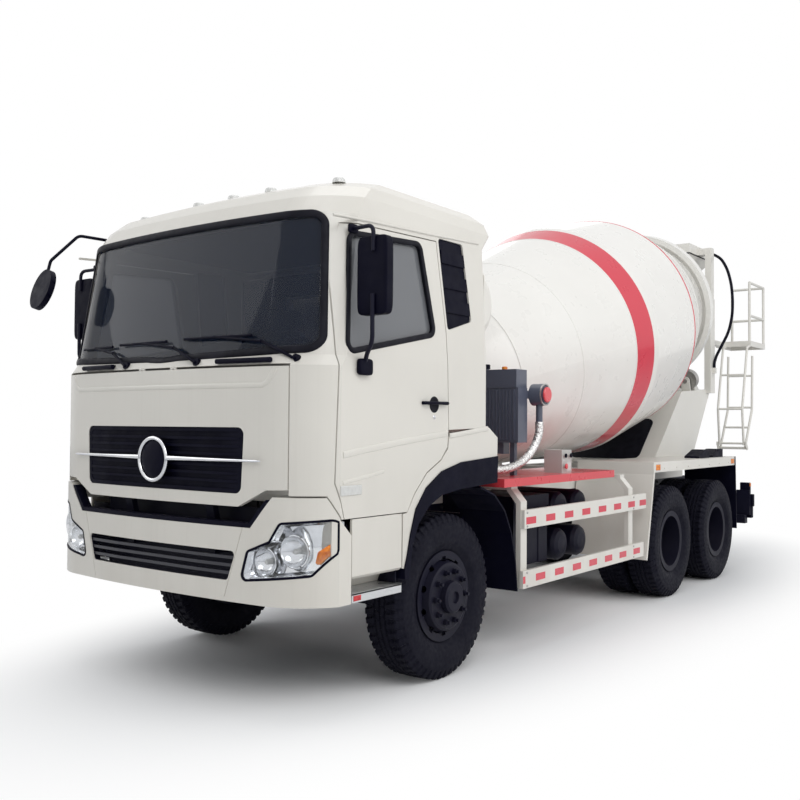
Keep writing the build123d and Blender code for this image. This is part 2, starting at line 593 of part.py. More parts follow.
def chassis_frame():
    """Two channel rails, crossmembers, the tow jaw and the rear underrun bar."""
    rail = slab((RAIL_HALF - RAIL_WALL, RAIL_HALF), (RAIL_FRONT, RAIL_REAR), (RAIL_BOTTOM, RAIL_TOP))
    for z in (RAIL_BOTTOM, RAIL_TOP - RAIL_WALL):
        rail += slab((RAIL_HALF - RAIL_FLANGE, RAIL_HALF), (RAIL_FRONT, RAIL_REAR), (z, z + RAIL_WALL))
    frame = both_sides(rail)
    for y in (-1080, 1500, 2300, 3100, WHEELBASE + BOGIE_SPREAD / 2, 5800, 6490):
        frame += slab((RAIL_WALL - RAIL_HALF, RAIL_HALF - RAIL_WALL), (y - 40, y + 40), (RAIL_BOTTOM + 90, RAIL_TOP - 30))
    jaw = slab((-70, 70), (6520, 6640), (850, 880)) + slab((-70, 70), (6520, 6640), (960, 990))
    jaw -= Pos(0, 6590, 920) * Cylinder(20, 200)
    frame += jaw
    leg = slab((350, 420), (6440, 6530), (560, RAIL_BOTTOM))
    lamp_plate = slab((1030, 1190), (6500, RAIL_REAR), (600, 900))
    frame += both_sides(leg + lamp_plate) + slab((-1150, 1150), (6440, RAIL_REAR), (500, 600))
    middle = WHEELBASE + BOGIE_SPREAD / 2
    trunnion = slab((RAIL_HALF - RAIL_FLANGE, 440), (middle - 110, middle + 110), (560, RAIL_BOTTOM))
    trunnion -= bar((0, middle, TRUNNION_Z), (600, middle, TRUNNION_Z), TRUNNION_RADIUS + SPIN_GAP)
    cab_rest = slab((355, 415), (240, 320), (RAIL_TOP, CAB_FLOOR - CAB_WALL - SEAT_GAP))
    return frame + both_sides(trunnion + cab_rest)


def mixer_subframe():
    """Subframe rails on the ladder frame with the front pedestal and its cross plates."""
    rail = slab((350, RAIL_HALF), (560, 6300), (RAIL_TOP, SUBFRAME_TOP))
    sub = both_sides(rail)
    for y in (1420, 2600, 3700, 4800, 6200):
        sub += slab((-360, 360), (y - 50, y + 50), (RAIL_TOP + 40, SUBFRAME_TOP - 10))
    top = [drum_point(s, -SADDLE_DROP)[1:] for s in (-2330, -1950)]
    under = [drum_point(s, -SADDLE_DROP - 30)[1:] for s in (-1950, -2330)]
    leg = prism_x([(600, SUBFRAME_TOP), (1400, SUBFRAME_TOP)] + under, (330, RAIL_HALF))
    sub += both_sides(leg)
    seat = prism_x(top + under, (-RAIL_HALF, RAIL_HALF))
    post = slab((500, 560), (690, 750), (SUBFRAME_TOP - 120, 2290))
    foot = slab((RAIL_HALF - 10, 560), (690, 750), (SUBFRAME_TOP - 120, SUBFRAME_TOP - 40))
    return sub + seat + both_sides(post + foot)


def rear_pedestal():
    """Leaning rear pedestal: two box legs, a front plate with an arched opening and the roller brackets."""
    base = SUBFRAME_TOP
    leg = prism_x([(4850, base), (6080, base), (6770, 2150), (5760, 2090)], (450, 620))
    foot = slab((RAIL_HALF - 70, 598), (4830, 6150), (base, base + 30))
    lean = atan2(2090 - base, 5760 - 4850)
    plate = Plane(origin=(0, 4850, base), x_dir=(1, 0, 0), z_dir=(0, -sin(lean), cos(lean)))
    length = sqrt((2090 - base) ** 2 + (5760 - 4850) ** 2)
    sheet = extrude(plate * (Pos(0, length / 2) * Rectangle(1240, length)), -30)
    hole = extrude(plate * (Pos(0, 330) * RectangleRounded(640, 560, 90)), 60, both=True)
    beam = slab((-620, 620), (6350, 6700), (2030, 2110))
    sheet -= hole + slab((-700, 700), (4000, 6000), (base - 100, base))
    whole = both_sides(leg + foot) + sheet + beam
    post = slab((600, 680), (6610, 6770), (2100, 3300))
    hose_foot = slab((680, 722), (6665, 6715), (2350, 2420))
    return whole + both_sides(post) + hose_foot


def roller_place():
    """Centre of the left roller."""
    reach = RING_RADIUS + SPIN_GAP + ROLLER_RADIUS
    spread = radians(ROLLER_SPREAD)
    return drum_point(RING_S, -reach * cos(spread), reach * sin(spread))


def roller(side):
    """Support roller under the drum's ring, on its own shaft."""
    w = ROLLER_WIDTH / 2
    profile = [(-w, 0), (-w, ROLLER_RADIUS), (w, ROLLER_RADIUS), (w, 0)]
    body = turned(profile, roller_place(), DRUM_AXIS)
    shaft = turned([(-110, 0), (-110, 26), (110, 26), (110, 0)], roller_place(), DRUM_AXIS)
    return body + shaft if side > 0 else other_side(body + shaft)


def roller_brackets():
    """Two ears with a bore on each side of every roller, standing on the pedestal."""
    x, y, z = roller_place()
    place = Plane(origin=(x, y, z), x_dir=(1, 0, 0), z_dir=DRUM_AXIS)
    ears = Part()
    for s in (-80, 80):
        ear = Pos(0, 0, s) * (Cylinder(52, 24) + Pos(0, 110, 0) * Box(104, 220, 24))
        ears += place * (ear - Pos(0, 0, s) * Cylinder(26 + SPIN_GAP, 60))
    return ears & slab((300, 900), (5500, 6900), (2090, 2500))


# Drum, its profile as place along the axis and outer radius
DRUM_PROFILE = [
    (-1900, 350), (-1750, 620), (-1400, 800), (260, 1110), (600, 1190), (1650, 1190), (RING_S - 60, 830),
    (RING_S + 60, 790), (MOUTH_S, MOUTH_RADIUS),
]


def drum():
    """Hollow drum of sheet with its roller ring and flat front head."""
    outside = [(-1900, 0)] + DRUM_PROFILE
    inside = [(s, r - DRUM_WALL * 1.05) for s, r in reversed(DRUM_PROFILE)]
    inside[-1] = (-1900 + DRUM_WALL, 350 - DRUM_WALL)
    inside[0] = (MOUTH_S, MOUTH_RADIUS - DRUM_WALL * 1.05)
    shell = turned(outside + inside + [(-1900 + DRUM_WALL, 0)], drum_point(0), DRUM_AXIS)
    w = RING_WIDTH / 2
    ring = [(RING_S - w, RING_RADIUS), (RING_S + w, RING_RADIUS), (RING_S + w, RING_RADIUS - 60), (RING_S + 12, RING_RADIUS - 60),
            (RING_S + 12, 800), (RING_S - 12, 800), (RING_S - 12, RING_RADIUS - 60), (RING_S - w, RING_RADIUS - 60)]
    return shell + turned(ring, drum_point(0), DRUM_AXIS)


def drum_gearbox():
    """Planetary gearbox and hydraulic motor on the front pedestal."""
    box = [(-1900.3, 0), (-1900.3, 240), (-1960, 240), (-1960, 285), (-2000, 285), (-2010, 230), (-2180, 220), (-2200, 130),
           (-2420, 120), (-2440, 80), (-2520, 80), (-2520, 0)]
    body = turned(box, drum_point(0), DRUM_AXIS)
    corners = ((-2280, -SADDLE_DROP), (-1990, -SADDLE_DROP), (-2020, -120), (-2170, -120))
    saddle = prism_x([drum_point(s, up)[1:] for s, up in corners], (-230, 230))
    return body + saddle


def water_tank():
    """Water tank across the truck behind the cab, with its straps."""
    tank = turned([(-940, 0), (-940, 180), (-900, 250), (900, 250), (940, 180), (940, 0)], (0, 720, 2575), (1, 0, 0))
    strap = Part()
    for x in (-530, 530):
        strap += slab((x - 30, x + 30), (690, 750), (2290, 2340))
    sight = pipe([(900, 720, 2790), (985, 720, 2790), (985, 720, 2370), (900, 720, 2370)], 9, 25)
    return tank + strap + sight


def oil_cooler():
    """Oil cooler: a finned core below an oval tank, with the suction filter on its side."""
    core = slab((640, 1090), (1050, 1190), (1540, 1960))
    tank = slab((650, 1080), (1040, 1200), (1960, 2100))
    legs = slab((700, 740), (1100, 1140), (1290, 1540)) + slab((990, 1030), (1100, 1140), (1290, 1540))
    pump = slab((800, 940), (1090, 1180), (1450, 1540))
    canister = bar((1090, 1290, 1910), (1190, 1290, 1910), 85)
    arm = slab((1020, 1090), (1180, 1300), (1880, 1940))
    for x in range(660, 1080, 30):
        core += slab((x, x + 10), (1040, 1050), (1560, 1945))
    pump += bar((1140, 1290, 1840), (1140, 1290, 1700 + SEAT_GAP), 26)
    cap = bar((1190, 1290, 1910), (1204, 1290, 1910), 60) + Pos(760, 1120, 2106) * Cylinder(26, 14)
    return core + tank + legs + pump + canister + arm + cap


def control_box():
    """Grey control box on the deck beside the drum."""
    box = slab((990, 1150), (1650, 1820), (DECK_TOP - 40, 1475))
    for y, z in ((1690, 1430), (1780, 1430), (1690, 1345)):
        box += bar((1150, y, z), (1164, y, z), 15)
    return box


def deck_plates():
    """Cover plates over the side of the frame."""
    plate = slab((RAIL_HALF + 130, BODY_HALF), (600, 2456), (1230, 1290))
    stay = slab((RAIL_HALF, RAIL_HALF + 140), (1500, 1580), (1160, 1225)) + slab((RAIL_HALF, RAIL_HALF + 140), (2250, 2330), (1160, 1225))
    stay += slab((RAIL_HALF + 130, RAIL_HALF + 140), (1500, 1580), (1160, 1235)) + slab((RAIL_HALF + 130, RAIL_HALF + 140), (2250, 2330), (1160, 1235))
    return both_sides(plate + stay)


def side_guards():
    """Side guards: two rails on two posts that bend in under the deck."""
    guard = slab((1210, BODY_HALF), (890, 3160), (914, 1050))
    guard += slab((1210, BODY_HALF), (870, 3100), (478, 607))
    for y in (885, 2826):
        post = prism_y([(1170, 478), (1210, 478), (1210, 1110), (1130, 1200), (1130, 1230), (1090, 1230), (1090, 1190), (1170, 1095)],
                       (y, y + 90))
        guard += post + slab((RAIL_HALF, 1100), (y + 20, y + 70), (1190, 1230))
    guard -= slab((1100, 1300), (3100, 3300), (400, 800))
    return both_sides(guard)


def battery_and_air_tanks():
    """Battery box and air reservoirs on the left side of the frame."""
    battery = slab((RAIL_HALF, 1070), (1020, 1550), (600, 1040)) + slab((RAIL_HALF, 1080), (1010, 1560), (1040, 1130))
    for y in (1150, 1400):
        battery += slab((1070, 1076), (y, y + 40), (600, 1040))
    tanks = Part()
    length = 650
    shape = [(0, 0), (0, 130), (length - 45, 130), (length - 18, 112), (length - 4, 70), (length, 0)]
    for y, z in ((1800, 1000), (1800, 700), (2150, 1000), (2150, 700)):
        tanks += turned(shape, (RAIL_HALF, y, z), (1, 0, 0))
    return battery + tanks


def fuel_tank():
    """Rounded fuel tank on the right side of the frame."""
    tank = prism_y([(-1140, 560), (-RAIL_HALF - 40, 560), (-RAIL_HALF - 40, 1120), (-1140, 1120)], (1010, 2500), 90)
    seat = slab((-RAIL_HALF - 60, -RAIL_HALF), (1200, 1270), (780, 1040)) + slab((-RAIL_HALF - 60, -RAIL_HALF), (2200, 2270), (780, 1040))
    return tank + seat


def rear_mudguards():
    """Mudguards over the rear wheels: a deck with a rim and a sloping front panel."""
    rim_x = BODY_HALF
    guard = slab((620, rim_x), (3376, 5757), (1300, DECK_TOP))
    guard += slab((rim_x - 20, rim_x), (3376, 5757), (1233, DECK_TOP))
    guard += prism_x([(3376, DECK_TOP), (3346, DECK_TOP), (3346, 1216), (3162, 430), (3192, 426), (3376, 1216)], (450, rim_x))
    stays = slab((RAIL_HALF, 640), (3600, 3680), (1180, 1240)) + slab((RAIL_HALF, 640), (5400, 5480), (1180, 1240))
    stays += slab((622, 640), (3600, 3680), (1180, 1310)) + slab((622, 640), (5400, 5480), (1180, 1310))
    return both_sides(guard + stays)


def mudguard_flaps():
    """Black flaps behind the rear wheels and the mudguards behind the front wheels."""
    flap = prism_x([(5757, 1300), (5757, 1330), (5800, 1330), (5840, 500), (5828, 500), (5790, 1300)], (640, BODY_HALF))
    front = prism_x([(300, 1242), (480, 1180), (620, 1060), (710, 900), (770, 700), (800, 470), (812, 470), (782, 705),
                     (722, 908), (630, 1070), (486, 1192), (300, 1256)], (840, 1230))
    stay = slab((RAIL_HALF, 860), (640, 700), (960, 1020))
    chocks = Part()
    for y in (4780, 5230):
        chocks += prism_x([(y, DECK_TOP), (y + 330, DECK_TOP), (y + 330, 1420), (y + 230, 1420), (y, 1350)], (1010, 1170))
    return both_sides(flap + front + stay) + chocks


HEADLAMP_OUTLINE = [(733, 786), (1149, 835), (1258, 985), (1243, 1142), (996, 1120), (936, 1016), (781, 953)]
LAMP_CORNER = 18
LAMP_GAP = 9                  # dark gap round a headlamp
LIP_HEIGHT = 25
BUMPER_TOP = [(950, 1263), (800, 1085)]


def lamp_area(grow, y=(-1700, -1215)):
    """The headlamp's outline, grown or shrunk, carried back through the bumper."""
    face = offset(closed(HEADLAMP_OUTLINE, LAMP_CORNER), amount=grow)
    return extrude(Plane.XZ.offset(-y[0]) * face, y[1] - y[0], dir=(0, 1, 0))


def front_bumper():
    """Bumper with lamp recesses, the lower grille opening and its slats."""
    form = cab_bumper_form(0) - cab_bumper_form(45)
    opening = prism_y([(-695, 948), (-635, 779), (635, 779), (695, 948)], (-1700, -1380), 25)
    body = form - opening - both_sides(lamp_area(0))
    for z in (820, 864, 908):
        body += slab((-690, 690), (-1452, -1432), (z - 9, z + 9)) & (cab_bumper_form(12) - cab_bumper_form(36))
    stay = slab((356, 416), (-1430, HORN_FRONT), (955, 1000))
    seam = both_sides(prism_y([(748, 1090), (604, 650), (600, 650), (744, 1090)], (-1700, -1300)))
    return (body - (seam & (cab_bumper_form(-20) - cab_bumper_form(4)))) + both_sides(stay)


def bumper_lip():
    """Black ledge on the bumper's top edge."""
    (x1, z1), (x0, z0) = BUMPER_TOP
    slope = (x1 - x0) / (z1 - z0)
    top = z1 - 15
    half = [(x0, z0), (x0 + slope * (top - z0), top), (x0 + slope * (top - z0) - 32, top), (x0 - 14, z0 + LIP_HEIGHT)]
    outline = half + [(-x, z) for x, z in reversed(half)]
    plan = extrude(cab_ring(1000, CAB_FRONT - 8, BODY_HALF, CAB_REAR, 4), 300)
    plan -= extrude(cab_ring(990, CAB_FRONT - 8, BODY_HALF, CAB_REAR, 62), 320)
    return plan & prism_y(outline, (-1700, -1200))


def cab_bumper_form(inset):
    """Bumper block: the cab's plan carried down, cut to the bumper's outline from the front and the side."""
    plan = extrude(cab_ring(600, CAB_FRONT - 8, BODY_HALF, CAB_REAR, inset), 700)
    front = prism_y([(-BODY_HALF + inset, 660 - inset), (BODY_HALF - inset, 660 - inset), (BODY_HALF - inset, 1263), (950, 1263), (800, 1085),
                     (-800, 1085), (-950, 1263), (-BODY_HALF + inset, 1263)], (-1700, 500))
    side = prism_x(BUMPER_SIDE, (-1300, 1300))
    return plan & front & side


def lamps():
    """Headlamps in the bumper and the rear lamp clusters."""
    head = lamp_area(-LAMP_GAP) & (cab_bumper_form(3) - cab_bumper_form(55))
    flange = lamp_area(12) & (cab_bumper_form(45 + SEAT_GAP) - cab_bumper_form(60))
    rear = slab((1000, 1220), (RAIL_REAR, RAIL_REAR + 60), (700, 850))
    rear += slab((1040, 1200), (RAIL_REAR, RAIL_REAR + 75), (560, 700))
    rear += slab((1060, 1180), (RAIL_REAR, RAIL_REAR + 50), (850, 990))
    return both_sides(head + flange + rear)


def cab_steps():
    """Entry steps between bumper and front wheel: a side panel, two treads and the bracket to the frame."""
    side = slab((1205, BODY_HALF), (-1066, -600), (660, 1135))
    side -= slab((1100, 1300), (-1040, -620), (700, 800))
    tread = slab((1000, 1205), (-1066, -600), (660, 690)) + slab((1000, 1205), (-1066, -600), (930, 960))
    back = slab((985, 1010), (-1066, -600), (660, 1100))
    arm = slab((RAIL_HALF, 1000), (-900, -820), (800, 880))
    return both_sides(side + tread + back + arm)


def hopper():
    """Charging hopper over the drum's mouth and the collector below it."""
    wall = 10
    rim_top = 3985
    upper = slab((-500, 500), (6360, 7190), (3860, rim_top)) - slab((-490, 490), (6370, 7180), (3800, 4100))
    slope = loft([Pos(0, 6775, 3860) * Rectangle(1000, 830), Pos(0, 6900, 3560) * Rectangle(360, 300)], ruled=True)
    hollow = loft([Pos(0, 6775, 3862) * Rectangle(980, 810), Pos(0, 6900, 3558) * Rectangle(340, 280)], ruled=True)
    frame = slab((-640, -500), (6640, 6760), (3870, 3950)) + slab((500, 640), (6640, 6760), (3870, 3950))
    legs = both_sides(slab((600, 680), (6640, 6740), (3300, 3950)))
    spout = loft([Pos(0, 6900, 3562) * Rectangle(360, 300), Pos(0, 6600, 3300) * Rectangle(300, 200)], ruled=True)
    bore = loft([Pos(0, 6900, 3564) * Rectangle(340, 280), Pos(0, 6598, 3298) * Rectangle(280, 180)], ruled=True)
    nozzle = bar((495, 6830, 3900), (540, 6830, 3900), 20)
    return upper + (slope - hollow) + (spout - bore) + frame + legs + nozzle


def collector():
    """Collector below the drum's mouth that leads to the chute."""
    outer = loft([Pos(0, 6960, 3150) * Rectangle(1100, 420), Pos(0, 6960, 2700) * Rectangle(420, 380)], ruled=True)
    inner = loft([Pos(0, 6960, 3152) * Rectangle(1080, 400), Pos(0, 6960, 2698) * Rectangle(400, 360)], ruled=True)
    ear = slab((500, 640), (6770, 6830), (3050, 3110))
    return (outer + both_sides(ear)) - inner


def hose(points, radius):
    """A hose along straight runs joined by arcs as large as the runs allow."""
    at = [Vector(*p) for p in points]
    radii = []
    for a, b, c in zip(at, at[1:], at[2:]):
        half_turn = radians((b - a).get_angle(c - b)) / 2
        radii.append(0.45 * min((b - a).length, (c - b).length) / tan(half_turn))
    path = FilletPolyline(*points, radius=radii)
    return sweep(Plane(origin=path @ 0, z_dir=path % 0) * Circle(radius), path=path)


FOIL_HOSE = [(1140, 1290, 1700), (1140, 1290, 1610), (1122, 1250, 1510), (1100, 1160, 1420), (1090, 1040, 1372),
             (1080, 900, 1345), (1060, 770, 1342), (1020, 655, 1345), (960, 565, 1330), (870, 520, 1265),
             (760, 515, 1200), (645, 550, 1160), (535, 612, 1146), (RAIL_HALF + SEAT_GAP, 612, 1146)]
WASH_HOSE = [(540 + SEAT_GAP, 6830, 3900), (640, 6830, 3900), (745, 6832, 3830), (820, 6836, 3690), (868, 6842, 3500),
             (885, 6845, 3290), (880, 6840, 3080), (840, 6812, 2870), (765, 6770, 2700), (712, 6728, 2570),
             (700, 6690, 2480), (700, 6690, 2420 + SEAT_GAP)]


def hoses():
    """Foil wrapped oil hose beside the cooler and the black wash hose at the hopper."""
    return hose(FOIL_HOSE, 32), hose(WASH_HOSE, 18)


# Chute and ladder

CHUTE_POST_Y = 6880
CHUTE_PIN_Z = 2200
CHUTE_ANGLE = 35
CHUTE_RADIUS = 200
CHUTE_LENGTH = 1040
CHUTE_HEAD = (0, 6790, 2590)
FOLD_GAP = 12
HINGE_ALONG = 14              # hinge pin past the end of the main chute
HINGE_UP = 32                 # hinge pin above the trough's centre line


def chute_plane(along=0):
    """Plane square to the chute, its local y pointing up from the trough."""
    a = radians(CHUTE_ANGLE)
    x, y, z = CHUTE_HEAD
    return Plane(origin=(x, y + along * cos(a), z - along * sin(a)), x_dir=(-1, 0, 0), z_dir=(0, cos(a), -sin(a)))


def trough(radius, length, wall, side):
    """An open half pipe with straight sides, along local Z."""
    outer = Circle(radius) & Pos(0, -radius) * Rectangle(2 * radius, 2 * radius)
    outer += Pos(0, side / 2) * Rectangle(2 * radius, side)
    inner = Circle(radius - wall) & Pos(0, -radius) * Rectangle(2 * radius, 2 * radius)
    inner += Pos(0, side / 2 + 1) * Rectangle(2 * (radius - wall), side + 2)
    return extrude(outer - inner, length)


def hinge_pin(radius, half_length):
    """Bar through the hinge between the main chute and its extension."""
    place = chute_plane(CHUTE_LENGTH + HINGE_ALONG) * Pos(0, HINGE_UP, 0)
    return place * Rot(0, 90, 0) * Cylinder(radius, 2 * half_length)


def main_chute():
    """Main chute with the ears of its tilt pin."""
    body = chute_plane() * trough(CHUTE_RADIUS, CHUTE_LENGTH, 8, 60)
    ears = prism_x([(6770, 2400), (6850, 2165), (6910, 2165), (7060, 2270)], (28, 44))
    ears -= Pos(0, CHUTE_POST_Y, CHUTE_PIN_Z) * Rot(0, 90, 0) * Cylinder(15 + SPIN_GAP, 400)
    core = chute_plane(-400) * extrude(Circle(CHUTE_RADIUS - 4), 2000)
    strap = chute_plane(CHUTE_LENGTH - 30) * (Pos(CHUTE_RADIUS + 6, HINGE_UP - 8) * extrude(Rectangle(16, 56), 62))
    strap -= hinge_pin(8 + SPIN_GAP, 300)
    return body + both_sides(ears - core) + both_sides(strap)


def chute_swivel():
    """Swivel sleeve on its post with the fork and pin that carry the chute."""
    sleeve = Pos(0, CHUTE_POST_Y, 1880) * (Cylinder(62, 460) - Cylinder(40 + SPIN_GAP, 500))
    cap = Pos(0, CHUTE_POST_Y, 2118) * Cylinder(66, 16)
    fork = slab((52, 68), (CHUTE_POST_Y - 35, CHUTE_POST_Y + 35), (2110, 2240))
    pin = Pos(0, CHUTE_POST_Y, CHUTE_PIN_Z) * Rot(0, 90, 0) * Cylinder(15, 150)
    return sleeve + cap + both_sides(fork) + pin


def chute_extension():
    """Extension chute folded back over the main chute, with its hinge straps."""
    place = chute_plane(CHUTE_LENGTH - 670)
    body = place * (Pos(0, 62 + FOLD_GAP, 0) * Rot(0, 0, 180) * trough(190, 680, 8, 2))
    lug = chute_plane(CHUTE_LENGTH - 10) * (Pos(178, HINGE_UP + 22) * extrude(Rectangle(14, 76), 38))
    lug += chute_plane(CHUTE_LENGTH - 40) * (Pos(180, HINGE_UP + 47) * extrude(Rectangle(18, 26), 68))
    pins = hinge_pin(8, 216) - hinge_pin(20, 174)
    return body + both_sides(lug) + pins


def frame_ends():
    """Cab hinge horns at the front, and the arms behind the last crossmember that carry the chute's post."""
    y, z = CAB_PIVOT
    horn = prism_x([(RAIL_FRONT + 30, 900), (HORN_FRONT, 900), (HORN_FRONT, z - 150), (y + 10, z - 60), (y - 30, z), (y, z + 30), (y + 30, z),
                    (y + 75, z - 150), (RAIL_FRONT + 30, RAIL_TOP)], (352, 420))
    pin = Pos(400, y, z) * Rot(0, 90, 0) * Cylinder(18, 150)
    arms = both_sides(horn + pin + slab((80, 110), (RAIL_REAR - 10, 6950), (1000, 1050)))
    block = slab((-110, 110), (6810, 6950), (1000, 1050))
    post = Pos(0, CHUTE_POST_Y, 1575) * Cylinder(40, 1070)
    collar = Pos(0, CHUTE_POST_Y, 1350) * Cylinder(64, 599)
    return arms + block + post + collar


PLATFORM_X = (550, 1000)
PLATFORM_Y = (7200, 7850)
PLATFORM_Z = 2790
LADDER_X = (660, 1000)
LADDER_PIVOT = (7000, 1400)


def platform():
    """Inspection platform with its guard rail and the fixed upper ladder."""
    (x0, x1), (y0, y1) = PLATFORM_X, PLATFORM_Y
    deck = slab((x0, x1), (y0, y1), (PLATFORM_Z - 70, PLATFORM_Z)) - slab((x0 + 12, x1 - 12), (y0 + 12, y1 - 12),
                                                                        (PLATFORM_Z - 90, PLATFORM_Z - 8))
    r = 17
    rail = Part()
    top = 3550
    for x, y in ((x1 - r, y0 + r), (x1 - r, y1 - r), (x0 + r, y1 - r)):
        rail += bar((x, y, PLATFORM_Z - 4), (x, y, top), r)
    for z in (3120, top):
        rail += bar((x1 - r, y0 + r, z), (x1 - r, y1 - r, z), r)
        rail += bar((x0 + r, y1 - r, z), (x1 - r, y1 - r, z), r)
    rail += bar((x1 - r, y1 - r, top - r), (x1 - r, y1 - r, top), r)
    arm = slab((600, 680), (6770.3, y0 + 1), (PLATFORM_Z - 70, PLATFORM_Z - 10))
    ladder = Part()
    for x in (LADDER_X[0] + r, LADDER_X[1] - r):
        ladder += pipe([(x, 7225, 2725), (x, 7110, 2700), (x, 6900, 1900), (x, 6960, 1440)], r - 2, 40)
    for y, z, wider in ((7015, 2340, 0), (6900, 1900, 0), (6957, 1460, 32)):
        ladder += bar((LADDER_X[0] + r - wider, y, z), (LADDER_X[1] - r + wider, y, z), 13)
    y, z = LADDER_PIVOT
    lug = prism_x([(y - 65, z + 40), (y - 65, z + 80), (y - 25, z + 80), (y + 24, z + 20), (y + 24, z - 24), (y - 20, z - 24)], (0, 10))
    lug -= Pos(5, y, z) * Rot(0, 90, 0) * Cylinder(16 + SPIN_GAP, 20)
    return deck + rail + arm + ladder + Pos(LADDER_X[0] - 16, 0, 0) * lug + Pos(LADDER_X[1] + 6, 0, 0) * lug


def ladder_lower():
    """Lower ladder, folded up against the upper one on its hinge."""
    r = 15
    ladder = Part()
    for x in (LADDER_X[0] + r, LADDER_X[1] - r):
        ladder += pipe([(x, LADDER_PIVOT[0], LADDER_PIVOT[1]), (x, 7300, 1890), (x, 7325, 2600)], r, 60)
    for y, z in ((7316, 2340), (7300, 1925), (7160, 1664)):
        ladder += bar((LADDER_X[0] + r, y, z), (LADDER_X[1] - r, y, z), 13)
    y, z = LADDER_PIVOT
    ladder += bar((LADDER_X[0] - 22, y, z), (LADDER_X[1] + 22, y, z), 16)
    return ladder


foil_hose, wash_hose = hoses()
side_pieces = [
    ("left", 1),
    ("right", -1),
]
axle_pieces = [
    ("rear1", WHEELBASE),
    ("rear2", WHEELBASE + BOGIE_SPREAD),
]

save("chassis_frame", chassis_frame() + frame_ends())
save("mixer_subframe", mixer_subframe())
save("rear_pedestal", rear_pedestal() + roller_brackets())
save("engine_block", engine_block())
save("front_axle", front_axle())
save("rear_axles", rear_axles())
save("front_bumper", front_bumper())
save("bumper_lip", bumper_lip())
save("lamps", lamps())
save("cab_steps", cab_steps())
save("side_guards", side_guards())
save("deck_plates", deck_plates())
save("battery_and_air_tanks", battery_and_air_tanks())
save("fuel_tank", fuel_tank())
save("control_box", control_box())
save("oil_cooler", oil_cooler())
save("foil_hose", foil_hose)
save("wash_hose", wash_hose)
save("water_tank", water_tank())
save("drum_gearbox", drum_gearbox())
save("rear_mudguards", rear_mudguards())
save("mudguard_flaps", mudguard_flaps())
save("hopper", hopper() + collector())
save("platform", platform())
save("ladder_lower", ladder_lower())
save("cab_shell", cab_shell())
save("cab_glass", cab_glass())
save("cab_trim", cab_trim())
save("cab_seats", cab_seats())
save("dashboard", dashboard())
save("front_flap", front_flap())
save("grille", grille())
save("tie_rod", tie_rod())
save("drum", drum())
save("chute_swivel", chute_swivel())
save("main_chute", main_chute())
save("chute_extension", chute_extension())
for name, side in side_pieces:
    save(f"door_{name}", door(side))
    save(f"door_glass_{name}", door_glass(side))
    save(f"mirror_{name}", mirror_and_handle(side))
    save(f"knuckle_{name}", knuckle(side))
    save(f"roller_{name}", roller(side))
    save(f"wheel_front_{name}", front_wheel(side))
    front_tyre = tyre(FRONT_WHEEL_X, 0)
    save(f"tyre_front_{name}", front_tyre if side > 0 else other_side(front_tyre))
    for axle, y in axle_pieces:
        save(f"wheels_{axle}_{name}", rear_wheel(side, y))
        save(f"tyres_{axle}_{name}", rear_tyres(side, y))
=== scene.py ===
import math
import bmesh
import bpy
import numpy as np
from mathutils import Matrix, Vector


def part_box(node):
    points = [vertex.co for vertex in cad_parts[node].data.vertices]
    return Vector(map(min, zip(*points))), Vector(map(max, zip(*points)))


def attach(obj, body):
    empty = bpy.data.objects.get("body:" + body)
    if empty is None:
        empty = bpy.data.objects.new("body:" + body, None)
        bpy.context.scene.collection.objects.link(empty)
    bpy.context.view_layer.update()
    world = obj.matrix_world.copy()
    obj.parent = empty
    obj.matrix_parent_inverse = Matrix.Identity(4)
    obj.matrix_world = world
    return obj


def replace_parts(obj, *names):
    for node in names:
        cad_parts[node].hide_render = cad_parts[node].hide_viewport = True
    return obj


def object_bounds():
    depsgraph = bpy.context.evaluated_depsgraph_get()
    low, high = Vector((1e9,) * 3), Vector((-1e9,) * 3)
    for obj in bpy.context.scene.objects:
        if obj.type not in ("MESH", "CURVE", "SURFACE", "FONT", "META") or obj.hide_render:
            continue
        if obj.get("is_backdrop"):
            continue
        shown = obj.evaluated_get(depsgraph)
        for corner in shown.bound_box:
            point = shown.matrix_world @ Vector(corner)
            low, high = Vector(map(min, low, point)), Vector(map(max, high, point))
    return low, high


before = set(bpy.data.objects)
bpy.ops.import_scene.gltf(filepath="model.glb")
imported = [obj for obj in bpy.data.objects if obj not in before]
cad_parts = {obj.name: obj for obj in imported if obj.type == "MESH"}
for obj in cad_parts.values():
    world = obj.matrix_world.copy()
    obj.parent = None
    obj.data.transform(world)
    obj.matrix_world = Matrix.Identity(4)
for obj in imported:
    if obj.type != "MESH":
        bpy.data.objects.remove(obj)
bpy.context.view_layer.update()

# Camera. It stands low by the truck's front left corner, a little above the bumper, and looks back
# along the cab's side to the drum. Points below are in the truck's own frame, with y = 0 at the
# front axle, and AXLE_Y takes them to the middle of the truck's box.
low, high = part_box("wheel_front_left")
AXLE_Y = (low[1] + high[1]) / 2
VIEW_FROM = Vector((4.60758, -5.06885 + AXLE_Y, 1.67364))
VIEW_ALONG = Vector((-0.60414799, 0.79643878, 0.02627685))
VIEW_ROLL = math.radians(0.41124)
FOCAL_PIXELS = 923.70
PICTURE_PIXELS = 800
SENSOR_MM = 36


def placed(name, data):
    """A new object in the scene."""
    obj = bpy.data.objects.new(name, data)
    bpy.context.scene.collection.objects.link(obj)
    return obj


